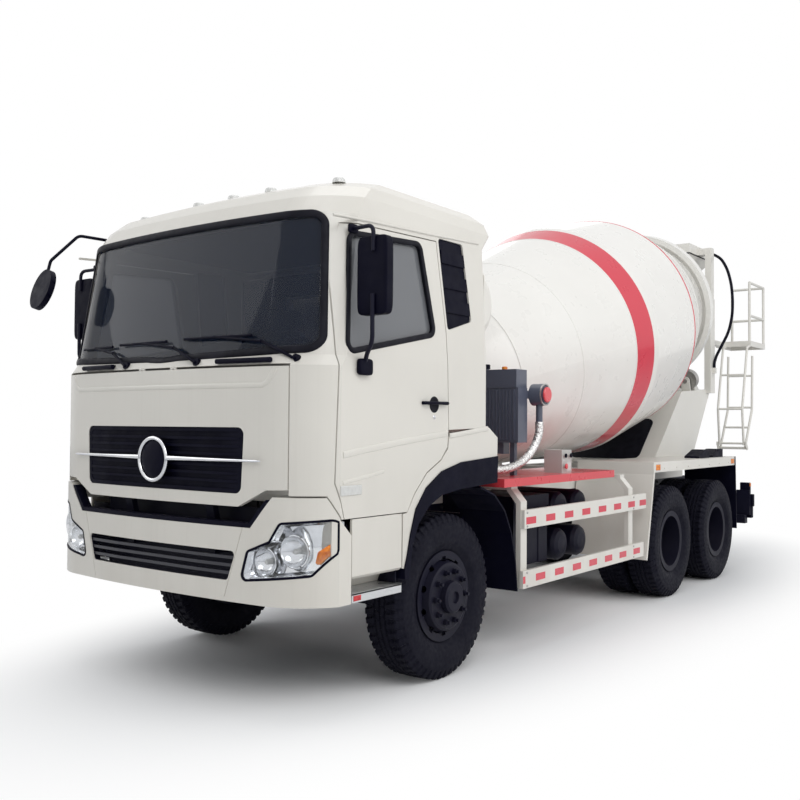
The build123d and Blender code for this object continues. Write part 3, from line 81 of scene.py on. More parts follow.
level = VIEW_ALONG.cross(Vector((0, 0, 1))).normalized()
right = math.cos(VIEW_ROLL) * level + math.sin(VIEW_ROLL) * level.cross(VIEW_ALONG)
above = right.cross(VIEW_ALONG)
camera = placed("camera", bpy.data.cameras.new("camera"))
camera.data.sensor_width = SENSOR_MM
camera.data.lens = SENSOR_MM * FOCAL_PIXELS / PICTURE_PIXELS
camera.data.clip_end = 200
turn = Matrix((right, above, -VIEW_ALONG)).transposed().to_4x4()
camera.matrix_world = Matrix.Translation(VIEW_FROM) @ turn
bpy.context.scene.camera = camera

# Studio. A pale floor that fades into a white surround, a large soft lamp over the driver's front
# corner, a broad one along the driver's side, and weaker ones from the other side, above and behind.


def add_node(tree, kind, inputs, **settings):
    """A shader node with its settings. Each input is a value or another node's socket."""
    made = tree.nodes.new(kind)
    for setting, value in settings.items():
        setattr(made, setting, value)
    for socket, value in inputs.items():
        if isinstance(value, bpy.types.NodeSocket):
            tree.links.new(value, made.inputs[socket])
        else:
            made.inputs[socket].default_value = value
    return made


bpy.context.scene.view_settings.view_transform = "Standard"
world = bpy.data.worlds.new("studio")
bpy.context.scene.world = world
world.use_nodes = True
tree = world.node_tree
tree.nodes.clear()
rays = add_node(tree, "ShaderNodeLightPath", {}).outputs
seen = add_node(tree, "ShaderNodeMath", {0: rays["Is Camera Ray"], 1: rays["Is Transmission Ray"]},
                operation="MAXIMUM")
shown = add_node(tree, "ShaderNodeMath", {0: seen.outputs[0], 1: rays["Is Glossy Ray"]},
                 operation="MAXIMUM")
soft = add_node(tree, "ShaderNodeBackground", {"Color": (0.93, 0.96, 1.0, 1), "Strength": 0.46})
white = add_node(tree, "ShaderNodeBackground", {"Color": (1, 1, 1, 1), "Strength": 1.0})
either = add_node(tree, "ShaderNodeMixShader",
                  {0: shown.outputs[0], 1: soft.outputs[0], 2: white.outputs[0]})
add_node(tree, "ShaderNodeOutputWorld", {"Surface": either.outputs[0]})

# place in the truck's frame, aim, size, watts
LAMPS = [
    ((7.5, -5.5, 8.5), (0.6, 0.5, 1.4), 7.0, 360),
    ((9.5, 3.0, 6.0), (0.8, 3.0, 1.6), 8.0, 330),
    ((-7.0, -6.0, 7.0), (-0.5, 0.5, 1.5), 7.0, 140),
    ((0.0, 0.5, 12.0), (0.0, 0.5, 2.0), 9.0, 290),
    ((-6.0, 12.0, 6.0), (0.0, 5.0, 2.0), 7.0, 90),
]
for number, (at, aim, size, watts) in enumerate(LAMPS):
    name = f"studio_lamp_{number}"
    lamp = placed(name, bpy.data.lights.new(name, "AREA"))
    lamp.data.shape = "DISK"
    lamp.data.size = size
    lamp.data.energy = watts
    lamp.location = Vector(at) + Vector((0, AXLE_Y, 0))
    lamp.rotation_euler = (Vector(aim) - Vector(at)).to_track_quat("-Z", "Y").to_euler()

FLOOR_RADIUS = 60
angle = np.linspace(0, 2 * np.pi, 97)[:-1]
rim = np.stack([FLOOR_RADIUS * np.cos(angle), FLOOR_RADIUS * np.sin(angle), 0 * angle], axis=1)
floor_mesh = bpy.data.meshes.new("floor")
floor_mesh.from_pydata(rim.tolist(), [], [list(range(len(rim)))])
floor = placed("floor", floor_mesh)
floor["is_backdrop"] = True
ground = bpy.data.materials.new("floor")
ground.use_nodes = True
tree = ground.node_tree
tree.nodes.clear()
place = add_node(tree, "ShaderNodeTexCoord", {}).outputs["Object"]
longer = add_node(tree, "ShaderNodeMapping", {"Scale": (1, 0.36, 1), "Vector": place})
far = add_node(tree, "ShaderNodeVectorMath", {0: longer.outputs["Vector"]}, operation="LENGTH")
fade = add_node(tree, "ShaderNodeMapRange",
                {"From Min": 1.4, "From Max": 2.6, "Value": far.outputs["Value"]},
                interpolation_type="SMOOTHSTEP")
rays = add_node(tree, "ShaderNodeLightPath", {}).outputs
only = add_node(tree, "ShaderNodeMath", {0: fade.outputs["Result"], 1: rays["Is Camera Ray"]},
                operation="MULTIPLY")
pale = add_node(tree, "ShaderNodeBsdfDiffuse", {"Color": (0.93, 0.93, 0.93, 1)})
glow = add_node(tree, "ShaderNodeEmission", {})
both = add_node(tree, "ShaderNodeMixShader",
                {0: only.outputs[0], 1: pale.outputs[0], 2: glow.outputs[0]})
add_node(tree, "ShaderNodeOutputMaterial", {"Surface": both.outputs[0]})
floor_mesh.materials.append(ground)

# Tyres. Ten radial truck tyres of black rubber, each a ring with moulded rings on its walls, lugs cut
# into its shoulders and grooves along the tread. They are vulcanised in a mould and sit on steel rims.
SIDES = (("left", 1), ("right", -1))


def linked(mat, socket, target):
    """The socket, linked to the shader's input of that name where one is given."""
    if target:
        tree = mat.node_tree
        tree.links.new(socket, tree.nodes["Principled BSDF"].inputs[target])
    return socket


def object_noise(mat, scale, detail=4.0, stretch=(1, 1, 1)):
    """Noise on Object coordinates: its value at p is fractal noise at p times stretch times scale."""
    tree = mat.node_tree
    place = add_node(tree, "ShaderNodeTexCoord", {}).outputs["Object"]
    turn = add_node(tree, "ShaderNodeMapping", {"Scale": stretch, "Vector": place})
    inputs = {"Scale": scale, "Detail": detail, "Vector": turn.outputs["Vector"]}
    return add_node(tree, "ShaderNodeTexNoise", inputs).outputs["Fac"]


def shaded(mat, value, shades, target="Base Color"):
    """A colour ramp over a value in 0 to 1, through (place, colour) stops, linked to the shader."""
    ramp = add_node(mat.node_tree, "ShaderNodeValToRGB", {"Fac": value})
    stops = ramp.color_ramp.elements
    while len(stops) < len(shades):
        stops.new(0.5)
    for stop, (at, colour) in zip(stops, shades):
        stop.position = at
        stop.color = (*colour, 1)
    return linked(mat, ramp.outputs["Color"], target)


def ranged(mat, value, low, high, target="Roughness", start=0.3, end=0.7):
    """A value mapped from start..end to low..high, held at both ends, and linked to the shader."""
    inputs = {"Value": value, "From Min": start, "From Max": end, "To Min": low, "To Max": high}
    return linked(mat, add_node(mat.node_tree, "ShaderNodeMapRange", inputs).outputs["Result"], target)


def bumped(mat, value, depth, strength):
    """Bump of a depth in metres from a value in 0 to 1."""
    inputs = {"Height": value, "Distance": depth, "Strength": strength}
    linked(mat, add_node(mat.node_tree, "ShaderNodeBump", inputs).outputs["Normal"], "Normal")


def finish(name, colour, roughness, metallic=0.0, extra=(), tones=None, gloss=None, grain=None):
    """A material from plain values, extra ones by name, and up to three noises, each given as (scale,
    detail, stretch): tones has two shades for the noise's 0.3 and 0.7, gloss the roughness at both,
    and grain a bump's depth in metres and its strength."""
    mat = bpy.data.materials.new(name)
    mat.use_nodes = True
    shader = mat.node_tree.nodes["Principled BSDF"]
    values = {"Base Color": (*colour, 1), "Roughness": roughness, "Metallic": metallic, **dict(extra)}
    for socket, value in values.items():
        shader.inputs[socket].default_value = value
    if tones:
        noise, dark, light = tones
        shaded(mat, object_noise(mat, *noise), [(0.3, dark), (0.7, light)])
    if gloss:
        noise, least, most = gloss
        ranged(mat, object_noise(mat, *noise), least, most)
    if grain:
        noise, depth, strength = grain
        bumped(mat, object_noise(mat, *noise), depth, strength)
    return mat


def mixed(mat, amount, first, second):
    """The base colour: a socket's where the amount is 0 and a plain one where it is 1."""
    mix = add_node(mat.node_tree, "ShaderNodeMix", {"Factor": amount}, data_type="RGBA")
    ends = {socket.name: socket for socket in mix.inputs if socket.type == "RGBA"}
    mat.node_tree.links.new(first, ends["A"])
    ends["B"].default_value = (*second, 1)
    linked(mat, [socket for socket in mix.outputs if socket.type == "RGBA"][0], "Base Color")


def over(mat, amount, colour):
    """Another colour over the present one where the amount is 1."""
    present = mat.node_tree.nodes["Principled BSDF"].inputs["Base Color"].links[0].from_socket
    mixed(mat, amount, present, colour)


def sums(mat, operation, *terms):
    """One arithmetic step between sockets or numbers."""
    return add_node(mat.node_tree, "ShaderNodeMath", dict(enumerate(terms)), operation=operation).outputs[0]


def across(mat):
    """The x, y and z sockets of Object coordinates."""
    place = add_node(mat.node_tree, "ShaderNodeTexCoord", {}).outputs["Object"]
    return add_node(mat.node_tree, "ShaderNodeSeparateXYZ", {0: place}).outputs


def piece(name, points, faces, mat, body, crease=35, bevel=0.0):
    """A mesh object from points in the truck's frame, riding a body, with its finish."""
    mesh = bpy.data.meshes.new(name)
    at = np.asarray(points, float).reshape(-1, 3) + (0, AXLE_Y, 0)
    mesh.from_pydata(at.tolist(), [], [list(map(int, face)) for face in faces])
    work = bmesh.new()
    work.from_mesh(mesh)
    bmesh.ops.remove_doubles(work, verts=work.verts, dist=1e-6)
    bmesh.ops.recalc_face_normals(work, faces=work.faces)
    work.to_mesh(mesh)
    work.free()
    mesh.polygons.foreach_set("use_smooth", np.ones(len(mesh.polygons), bool))
    mesh.set_sharp_from_angle(angle=math.radians(crease))
    mesh.materials.append(mat)
    obj = placed(name, mesh)
    if bevel:
        edge = obj.modifiers.new("edges", "BEVEL")
        edge.width = bevel
        edge.segments = 2
        edge.limit_method = "ANGLE"
        edge.angle_limit = math.radians(40)
    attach(obj, body)
    return obj


def grid_faces(rows, columns, close_rows=False, close_columns=False):
    """Quads between neighbours of a grid of points, wrapped round where it closes."""
    i = np.arange(rows if close_rows else rows - 1)[:, None]
    j = np.arange(columns if close_columns else columns - 1)[None, :]
    below, beside = (i + 1) % rows, (j + 1) % columns
    corners = (i * columns + j, below * columns + j, below * columns + beside, i * columns + beside)
    return np.stack(np.broadcast_arrays(*corners), axis=-1).reshape(-1, 4)


TYRE_RADIUS = 0.5425
TYRE_HALF = 0.1465
BEAD_RADIUS = 0.2563
LUG_RADIUS = 0.487                      # where the lugs begin on the wall
TREAD_EDGE = 0.101
LUGS = 54

rubber = finish("tyre_rubber", (0.006, 0.006, 0.012), 0.62, extra={"Specular IOR Level": 0.10},
                gloss=((38.0,), 0.50, 0.78), grain=((420.0, 2.0), 0.0006, 0.5))
shaded(rubber, object_noise(rubber, 9.0, 6.0),
       [(0.30, (0.0035, 0.0035, 0.0090)), (0.62, (0.0070, 0.0070, 0.0135)), (0.85, (0.016, 0.015, 0.020))])

# radius, height and width of each ring on the wall
WALL_RINGS = [(0.312, 0.0035, 0.005), (0.356, 0.0022, 0.004), (0.372, 0.0022, 0.0035), (0.466, 0.0026, 0.0045),
              (0.480, 0.0026, 0.0040)]


def tyre_surface(x, y, turns=432):
    """Points of one tyre. v runs along the section from bead to bead: a straight seat, a bulged wall with
    raised rings, a shoulder and the tread. u runs round the wheel. The radius is taken in by a groove
    depth where u and v fall in a lug's gap at the shoulder or in one of the zigzag tread grooves."""
    wall_x = np.array([0.104, 0.104, 0.109, 0.124, 0.1375, 0.1445, TYRE_HALF, 0.1450, 0.1395, 0.1330, 0.1250])
    wall_r = np.array([BEAD_RADIUS, 0.298, 0.306, 0.330, 0.352, 0.386, 0.420, 0.452, 0.484, 0.508, 0.519])
    t = np.linspace(0, len(wall_x) - 1, 24)
    side_x = np.interp(t, np.arange(len(wall_x)), wall_x)
    side_r = np.interp(t, np.arange(len(wall_x)), wall_r)
    for ring_r, height, width in WALL_RINGS:
        side_x = np.minimum(side_x + height * np.exp(-((side_r - ring_r) / width) ** 2), TYRE_HALF)
    shoulder_x = np.linspace(0.1225, 0.108, 3)
    bow = np.sqrt(1 - ((shoulder_x - 0.1015) / 0.0235) ** 2).clip(0, 1)
    shoulder_r = 0.519 + (TYRE_RADIUS - 0.5195) * bow
    tread_x = np.linspace(TREAD_EDGE, -TREAD_EDGE, 27)
    tread_r = TYRE_RADIUS - 0.0035 * (tread_x / TREAD_EDGE) ** 2
    section_x = np.concatenate([side_x, shoulder_x, tread_x, -shoulder_x[::-1], -side_x[::-1]])
    section_r = np.concatenate([side_r, shoulder_r, tread_r, shoulder_r[::-1], side_r[::-1]])
    u = np.arange(turns)[:, None] / turns * 2 * np.pi
    across_x = section_x[None, :] + 0 * u
    radius = section_r[None, :] + 0 * u
    phase = (u * LUGS / (2 * np.pi) + 0.25 * np.sign(across_x) + 1.6 * across_x) % 1
    lug = (phase > 0.60) & (np.abs(across_x) > 0.062) & (radius > LUG_RADIUS)
    zigzag = 0.006 * (2 * np.abs((u * LUGS / (2 * np.pi)) % 1 - 0.5) - 0.5)
    groove = (np.abs(np.abs(across_x + zigzag) - 0.040) < 0.006) | (np.abs(across_x - zigzag) < 0.005)
    groove &= np.abs(across_x) < 0.09
    out = (radius - LUG_RADIUS) / (TYRE_RADIUS - LUG_RADIUS)
    radius = radius - np.where(lug, 0.014 * np.clip(out, 0.25, 1), 0) - np.where(groove & ~lug, 0.013, 0)
    taken_in = lug & (np.abs(across_x) > 0.118)
    across_x = np.where(taken_in, across_x - np.sign(across_x) * 0.005, across_x)
    return np.stack([x + across_x, y + radius * np.cos(u), TYRE_RADIUS + radius * np.sin(u)], axis=-1)


# node, body, y, x of each tyre
WHEEL_PLACES = [
    ("tyre_front", "wheel_front", 0.0, (1.020,)),
    ("tyres_rear1", "wheels_rear1", 3.850, (1.095, 0.770)),
    ("tyres_rear2", "wheels_rear2", 5.200, (1.095, 0.770)),
]
for node, body, y, places in WHEEL_PLACES:
    for side, sign in SIDES:
        for number, x in enumerate(places):
            points = tyre_surface(sign * x, y)
            made = piece(f"{node}_{side}_rubber_{number}", points, grid_faces(*points.shape[:2], True, True),
                         rubber, f"{body}_{side}", crease=32)
            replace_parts(made, f"{node}_{side}")


# Cab paintwork. Pressed steel panels sprayed ivory with a clear coat, with a slight ripple in the gloss,
# faint darker upright streaks on the front and a film of road dust towards the sills.


def dress(mat, *nodes):
    """The finish goes on CAD nodes whose own shape is shown."""
    for node in nodes:
        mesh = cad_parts[node].data
        mesh.materials.clear()
        mesh.materials.append(mat)


def sprayed(name, colour, roughness, dust_and_reflection, dust_and_reflection_top, coat=0.35, amount=0.5):
    """Gloss paint: two shades by broad noise, a tint that thins out with height (road dust, and on the drum also a
    painted pink reflection of the red deck), and orange peel as bump.
    """
    mat = finish(name, colour, roughness, extra={"Coat Weight": coat, "Coat Roughness": 0.08},
                 gloss=((6.0, 5.0), roughness - 0.06, roughness + 0.08), grain=((260.0, 2.0), 0.00025, 0.35))
    light = tuple(min(c * 1.02, 0.9) for c in colour)
    dark = tuple(c * 0.97 for c in colour)
    tone = shaded(mat, object_noise(mat, 1.3, 5.0), [(0.30, dark), (0.70, light)], target=None)
    height = ranged(mat, across(mat)[2], 1.0, 0.0, target=None, start=0.3, end=dust_and_reflection_top)
    patches = ranged(mat, object_noise(mat, 3.2, 7.0, (1, 1, 0.4)), amount * 0.3, amount, target=None,
                     start=0.40, end=0.80)
    mixed(mat, sums(mat, "MULTIPLY", height, patches), tone, dust_and_reflection)
    return mat


ivory = sprayed("cab_ivory_paint", (0.665, 0.640, 0.585), 0.34, (0.46, 0.42, 0.36), 1.5)
streaks = object_noise(ivory, 1.0, 6.0, (46.0, 3.0, 0.55))
over(ivory, ranged(ivory, streaks, 0.0, 0.16, target=None, start=0.54, end=0.84), (0.50, 0.47, 0.42))
dress(ivory, "cab_shell", "front_flap", "door_left", "door_right")

# Bumper. The same ivory paint outside; the slats in its lower opening, set 8 mm or more behind the skin
# y = -1.473 + 0.061 x^2, are moulded in black.
bumper = ivory.copy()
bumper.name = "bumper_ivory_paint"
x, y, z = across(bumper)
curve = sums(bumper, "MULTIPLY", sums(bumper, "MULTIPLY", x, x), 0.061)
behind = sums(bumper, "SUBTRACT", sums(bumper, "SUBTRACT", y, AXLE_Y - 1.473), curve)
inside = sums(bumper, "GREATER_THAN", behind, 0.008)
at_height = sums(bumper, "COMPARE", z, 0.864, 0.088)
centred = sums(bumper, "LESS_THAN", sums(bumper, "ABSOLUTE", x), 0.700)
slats = sums(bumper, "MULTIPLY", sums(bumper, "MULTIPLY", inside, at_height), centred)
over(bumper, slats, (0.006, 0.006, 0.014))
dress(bumper, "front_bumper")

# Moulded black plastic. Grille, bumper ledge, arch bands, louvres, mirrors, wipers and flaps, injection
# moulded with a fine grain that is duller where it weathers.
moulded = finish("grained_black_plastic", (0.003, 0.003, 0.009), 0.48, extra={"Specular IOR Level": 0.06},
                 tones=((5.0, 6.0), (0.0022, 0.0022, 0.0085), (0.0050, 0.0050, 0.0135)),
                 gloss=((14.0, 4.0), 0.38, 0.60), grain=((900.0, 2.0), 0.0003, 0.6))
dress(moulded, "bumper_lip", "cab_trim", "grille", "mudguard_flaps", "dashboard")

# Black running gear. Frame rails, axles, tanks and brackets under thick black chassis paint, dusted by
# the road, and the cast engine and hubs.
underneath = sprayed("chassis_black_paint", (0.006, 0.006, 0.016), 0.46, (0.026, 0.024, 0.028), 0.9, 0.0)
underneath.node_tree.nodes["Principled BSDF"].inputs["Specular IOR Level"].default_value = 0.14
dress(underneath, "chassis_frame", "front_axle", "rear_axles", "battery_and_air_tanks", "wheel_front_left",
      "wheel_front_right", "wheels_rear1_left", "wheels_rear1_right", "wheels_rear2_left", "wheels_rear2_right")
castings = finish("dark_castings", (0.030, 0.030, 0.034), 0.66, 0.4,
                  tones=((7.0, 7.0), (0.016, 0.016, 0.020), (0.052, 0.048, 0.046)),
                  grain=((160.0, 5.0), 0.0012, 0.6))
dress(castings, "engine_block", "drum_gearbox", "knuckle_left", "knuckle_right")
machined = finish("rolled_steel", (0.42, 0.41, 0.40), 0.34, 1.0, gloss=((22.0, 5.0, (1, 1, 5)), 0.24, 0.46))
dress(machined, "tie_rod", "roller_left", "roller_right")

# Mixer paintwork. Plate and tube welded up and sprayed off-white: subframe, pedestals, hopper, chutes,
# platform, ladder, water tank, mudguards and side guards.
offwhite = sprayed("mixer_offwhite_paint", (0.735, 0.715, 0.665), 0.40, (0.40, 0.35, 0.28), 1.6, 0.2)
dress(offwhite, "mixer_subframe", "rear_pedestal", "side_guards", "water_tank", "rear_mudguards", "hopper",
      "platform", "ladder_lower", "chute_swivel", "main_chute", "chute_extension")
red_gloss = sprayed("deck_red_paint", (0.64, 0.045, 0.060), 0.30, (0.42, 0.22, 0.18), 1.4, 0.5)
dress(red_gloss, "deck_plates")
grey_coat = sprayed("control_grey_paint", (0.46, 0.45, 0.43), 0.42, (0.30, 0.26, 0.22), 1.5, 0.0)
dress(grey_coat, "control_box")
cooler_blue = sprayed("cooler_slate_paint", (0.070, 0.078, 0.112), 0.36, (0.12, 0.11, 0.10), 1.6, 0.2)
dress(cooler_blue, "oil_cooler")
tank_metal = finish("fuel_tank_aluminium", (0.60, 0.61, 0.62), 0.36, 1.0,
                    gloss=((8.0, 6.0, (1, 6, 1)), 0.28, 0.50))
dress(tank_metal, "fuel_tank")
sleeve = finish("foil_sleeve", (0.62, 0.61, 0.60), 0.30, 0.9,
                gloss=((30.0, 6.0), 0.16, 0.42), grain=((55.0, 5.0), 0.012, 1.0))
dress(sleeve, "foil_hose")
dress(rubber, "wash_hose")

# Drum. Rolled and welded steel sheet with a ring forged on behind, sprayed white, with one broad and one
# narrow red band masked round it, dusty underneath, with a painted pink reflection of the red deck plates there.
TILT = math.radians(14.02)
DRUM_START = np.array([0, 3.0, 2.389])
DRUM_AXIS = np.array([0, math.cos(TILT), math.sin(TILT)])
# dust towards the bottom, tinted pink as a painted reflection of the red deck plates
drum_paint = sprayed("drum_white_paint", (0.775, 0.760, 0.720), 0.30, (0.52, 0.36, 0.32), 2.6, 0.5, 0.75)
x, y, z = across(drum_paint)
forward = sums(drum_paint, "MULTIPLY", sums(drum_paint, "SUBTRACT", y, DRUM_START[1] + AXLE_Y), DRUM_AXIS[1])
risen = sums(drum_paint, "MULTIPLY", sums(drum_paint, "SUBTRACT", z, DRUM_START[2]), DRUM_AXIS[2])
along = sums(drum_paint, "ADD", forward, risen)
broad = sums(drum_paint, "COMPARE", along, 0.395, 0.135)
narrow = sums(drum_paint, "COMPARE", along, 1.65, 0.020)
over(drum_paint, sums(drum_paint, "MAXIMUM", broad, narrow), (0.60, 0.022, 0.050))
dress(drum_paint, "drum")

# Cab glass. A curved laminated windscreen and a flat rear window of tinted safety glass, held in rubber,
# and dusty drop windows that slide down inside the doors.
pane = finish("tinted_safety_glass", (0.012, 0.018, 0.035), 0.015, gloss=((3.0, 5.0), 0.004, 0.02),
              extra={"Alpha": 0.55, "Specular IOR Level": 0.30, "IOR": 1.48})
dress(pane, "cab_glass")
side_pane = finish("dusty_side_glass", (0.30, 0.31, 0.33), 0.06, gloss=((2.0, 6.0), 0.03, 0.12),
                   extra={"Transmission Weight": 0.55, "IOR": 1.48})
dress(side_pane, "door_glass_left", "door_glass_right")

# Windscreen and side window rubbers. Extruded black rubber weatherstrips pressed round each glass, half on
# the paint and half on the pane, with a rounded face.
CAB_FRONT = -1.465
CAB_HALF = 1.240
# height, front at the middle, half width, of the cab's plan rings
PLAN_RINGS = np.array([
    (1.141, CAB_FRONT, CAB_HALF), (2.000, CAB_FRONT, CAB_HALF), (2.060, -1.420, CAB_HALF),
    (2.890, -1.287, 1.202), (3.000, -1.210, 1.190), (3.080, -1.115, 1.158), (3.140, -0.960, 1.095),
    (3.180, -0.705, 0.950),
])


def arc_height(x, x1, y1, x2, y2, x3, y3):
    """y at x on the circle through three points: centre by the perpendicular bisectors, then Pythagoras."""
    d = 2 * (x1 * (y2 - y3) + x2 * (y3 - y1) + x3 * (y1 - y2))
    s1, s2, s3 = x1 ** 2 + y1 ** 2, x2 ** 2 + y2 ** 2, x3 ** 2 + y3 ** 2
    cx = (s1 * (y2 - y3) + s2 * (y3 - y1) + s3 * (y1 - y2)) / d
    cy = (s1 * (x3 - x2) + s2 * (x1 - x3) + s3 * (x2 - x1)) / d
    reach = np.hypot(x1 - cx, y1 - cy)
    return cy - np.sqrt(np.maximum(reach ** 2 - (x - cx) ** 2, 0))


def plan_y(x, front, half):
    """Front of a plan ring at x: a shallow arc across the middle, then a tight arc round each corner."""
    x = np.abs(x)
    flat = half - 0.390
    middle = arc_height(x, -flat, front + 0.044, 0 * flat, front, flat, front + 0.044)
    corner = arc_height(np.minimum(x, half - 1e-4), flat, front + 0.044, half - 0.165, front + 0.115,
                        half, front + 0.295)
    return np.where(x <= flat, middle, corner)


def cab_skin(x, z):
    """The cab's front surface: straight between the plan rings above and below a height."""
    z = np.asarray(z, float)
    front = np.interp(z, PLAN_RINGS[:, 0], PLAN_RINGS[:, 1])
    return plan_y(np.asarray(x, float), front, side_x(z))


def side_x(z):
    """Half width of the cab's side at a height."""
    return np.interp(z, PLAN_RINGS[:, 0], PLAN_RINGS[:, 2])


def front_path(line):
    """(x, z) points laid on the cab's front."""
    return np.stack([line[:, 0], cab_skin(line[:, 0], line[:, 1]), line[:, 1]], axis=1)


def side_path(line, sign, proud=0.0):
    """(y, z) points laid on the cab's side of that sign, or proud of it."""
    return np.stack([sign * (side_x(line[:, 1]) + proud), line[:, 0], line[:, 1]], axis=1)


def rounded(corners, radius, steps=8):
    """A closed outline with each corner turned by an arc: from tangent point to tangent point about a centre
    on the bisector."""
    corners = np.asarray(corners, float)
    out = []
    for before, at, after in zip(np.roll(corners, 1, 0), corners, np.roll(corners, -1, 0)):
        a = (before - at) / np.linalg.norm(before - at)
        b = (after - at) / np.linalg.norm(after - at)
        half = math.acos(float(np.clip(a @ b, -1, 1))) / 2
        room = min(np.linalg.norm(before - at), np.linalg.norm(after - at))
        r = min(radius, 0.45 * room * math.tan(half))
        centre = at + (a + b) / np.linalg.norm(a + b) * r / math.sin(half)
        first, last = at + a * r / math.tan(half), at + b * r / math.tan(half)
        t = np.linspace(0, 1, steps)[:, None]
        way = (first - centre) * (1 - t) + (last - centre) * t
        out.append(centre + way / np.linalg.norm(way, axis=1, keepdims=True) * r)
    return np.concatenate(out)


def spaced(outline, step, close=True):
    """The outline with points added so that no side is longer than a step."""
    ends = np.roll(outline, -1, 0) if close else outline[1:]
    parts = []
    for a, b in zip(outline, ends):
        count = max(1, int(np.ceil(np.linalg.norm(b - a) / step)))
        parts.append(a + (b - a) * (np.arange(count) / count)[:, None])
    if not close:
        parts.append(outline[-1:])
    return np.concatenate(parts)


def strip(path, outward, section, close=True):
    """A profile carried along a path: each point takes the section's first number along the sideways
    direction (path direction cross outward) and the second along outward."""
    if close:
        along = np.roll(path, -1, 0) - np.roll(path, 1, 0)
    else:
        along = np.gradient(path, axis=0)
    along /= np.linalg.norm(along, axis=1, keepdims=True)
    sideways = np.cross(along, outward)
    sideways /= np.linalg.norm(sideways, axis=1, keepdims=True)
    section = np.asarray(section, float)[None]
    return path[:, None, :] + sideways[:, None, :] * section[..., :1] + outward[:, None, :] * section[..., 1:]


def capped_faces(rows, columns):
    """Quads of a grid that closes round its columns, with one face over each end."""
    ends = [list(range(columns)), list(range(rows * columns - columns, rows * columns))]
    return grid_faces(rows, columns, False, True).tolist() + ends


def capped_strip(name, path, outward, section, mat, body, close=True, crease=40):
    """The strip as a mesh, its two ends closed with one face each where the path is open."""
    points = strip(path, outward, section, close)
    faces = grid_faces(*points.shape[:2], True, True) if close else capped_faces(*points.shape[:2])
    return piece(name, points, faces, mat, body, crease=crease)


def skin_normal(x, z):
    """Outward direction of the cab's front surface, from its slopes in x and z by small differences."""
    step = 1e-3
    dx = (cab_skin(x + step, z) - cab_skin(x - step, z)) / (2 * step)
    dz = (cab_skin(x, z + step) - cab_skin(x, z - step)) / (2 * step)
    normal = np.stack([dx, -np.ones_like(dx), dz], axis=-1)
    return normal / np.linalg.norm(normal, axis=-1, keepdims=True)


def half_round(width, height, count=9, base=-0.004):
    """A weatherstrip's section: half an ellipse of that width and height on a short foot."""
    t = np.linspace(0, np.pi, count)
    bow = np.stack([width / 2 * np.cos(t), height * np.sin(t) ** 0.8], axis=1)
    return np.concatenate([bow, [(-width / 2, base), (width / 2, base)]])


seal = finish("weatherstrip_rubber", (0.004, 0.004, 0.009), 0.42, extra={"Specular IOR Level": 0.08},
              tones=((12.0, 5.0), (0.006, 0.006, 0.010), (0.014, 0.014, 0.020)),
              gloss=((40.0,), 0.32, 0.56), grain=((700.0, 2.0), 0.0002, 0.5))
WINDSCREEN = [(-1.158, 2.092), (0, 2.057), (1.158, 2.092), (1.084, 2.880), (-1.084, 2.880)]
outline = spaced(rounded(WINDSCREEN, 0.078, 10), 0.05)
capped_strip("windscreen_rubber", front_path(outline), skin_normal(*outline.T), half_round(0.046, 0.010),
             seal, "cab")
window = spaced(rounded([(-1.116, 2.078), (-0.256, 2.247), (-0.386, 2.808), (-1.070, 2.766)], 0.050, 8), 0.05)
inner = spaced(rounded([(-1.110, 2.083), (-0.262, 2.250), (-0.390, 2.802), (-1.064, 2.761)], 0.046, 8), 0.05)
CHANNEL = [(-0.007, -0.012), (0.009, -0.012), (0.009, 0.010), (-0.007, 0.010)]
lean = math.atan2(0.038, 0.830)
for side, sign in SIDES:
    normal = np.array([[sign * math.cos(lean), 0, math.sin(lean)]])
    capped_strip(f"door_window_rubber_{side}", side_path(window, sign), normal.repeat(len(window), 0),
                 half_round(0.034, 0.006), seal, f"door_{side}")
    # the inner lip between the rubber and the glass, which sits deeper in the door
    capped_strip(f"door_window_channel_{side}", side_path(inner, sign, -0.012), normal.repeat(len(inner), 0),
                 CHANNEL, seal, f"door_{side}")

# Cab pressings. Swage lines rolled into the flap, the doors and the rear quarters, 4 mm proud, and the
# rain gutter welded along each side of the roof, all sprayed with the cab.


def swage(name, line, width, height, body, onto):
    """A low rounded ridge along (x, z) points on the front where onto is 0, or along (y, z) points on the
    side of that sign."""
    line = spaced(np.asarray(line, float), 0.03, close=False)
    path = side_path(line, onto) if onto else front_path(line)
    normal = np.tile([float(onto), 0, 0], (len(path), 1)) if onto else skin_normal(*line.T)
    return capped_strip(name, path, normal, half_round(width, height, 7, -0.002), ivory, body,
                        close=False, crease=60)


swage("flap_swage", [(-0.955, 1.985), (-0.905, 1.905), (-0.870, 1.888), (0.870, 1.888), (0.905, 1.905),
                     (0.955, 1.985)], 0.030, 0.0045, "flap", 0)
gutter = spaced(np.array([(-1.215, 2.842), (-0.900, 2.862), (-0.213, 2.892), (0.300, 2.921)]), 0.05, close=False)
for side, sign in SIDES:
    swage(f"door_swage_{side}", [(-1.150, 1.500), (-1.000, 1.520), (-0.626, 1.565), (-0.120, 1.617)],
          0.040, 0.005, f"door_{side}", sign)
    swage(f"door_lower_swage_{side}", [(-1.150, 1.345), (-0.930, 1.372), (-0.780, 1.396)],
          0.022, 0.003, f"door_{side}", sign)
    swage(f"quarter_swage_{side}", [(-0.095, 1.600), (0.200, 1.630), (0.372, 1.648)], 0.034, 0.007, "cab", sign)
    capped_strip(f"rain_gutter_{side}", side_path(gutter, sign, 0.001),
                 np.tile([float(sign), 0, 0], (len(gutter), 1)), half_round(0.016, 0.010, 7, -0.003),
                 ivory, "cab", close=False)

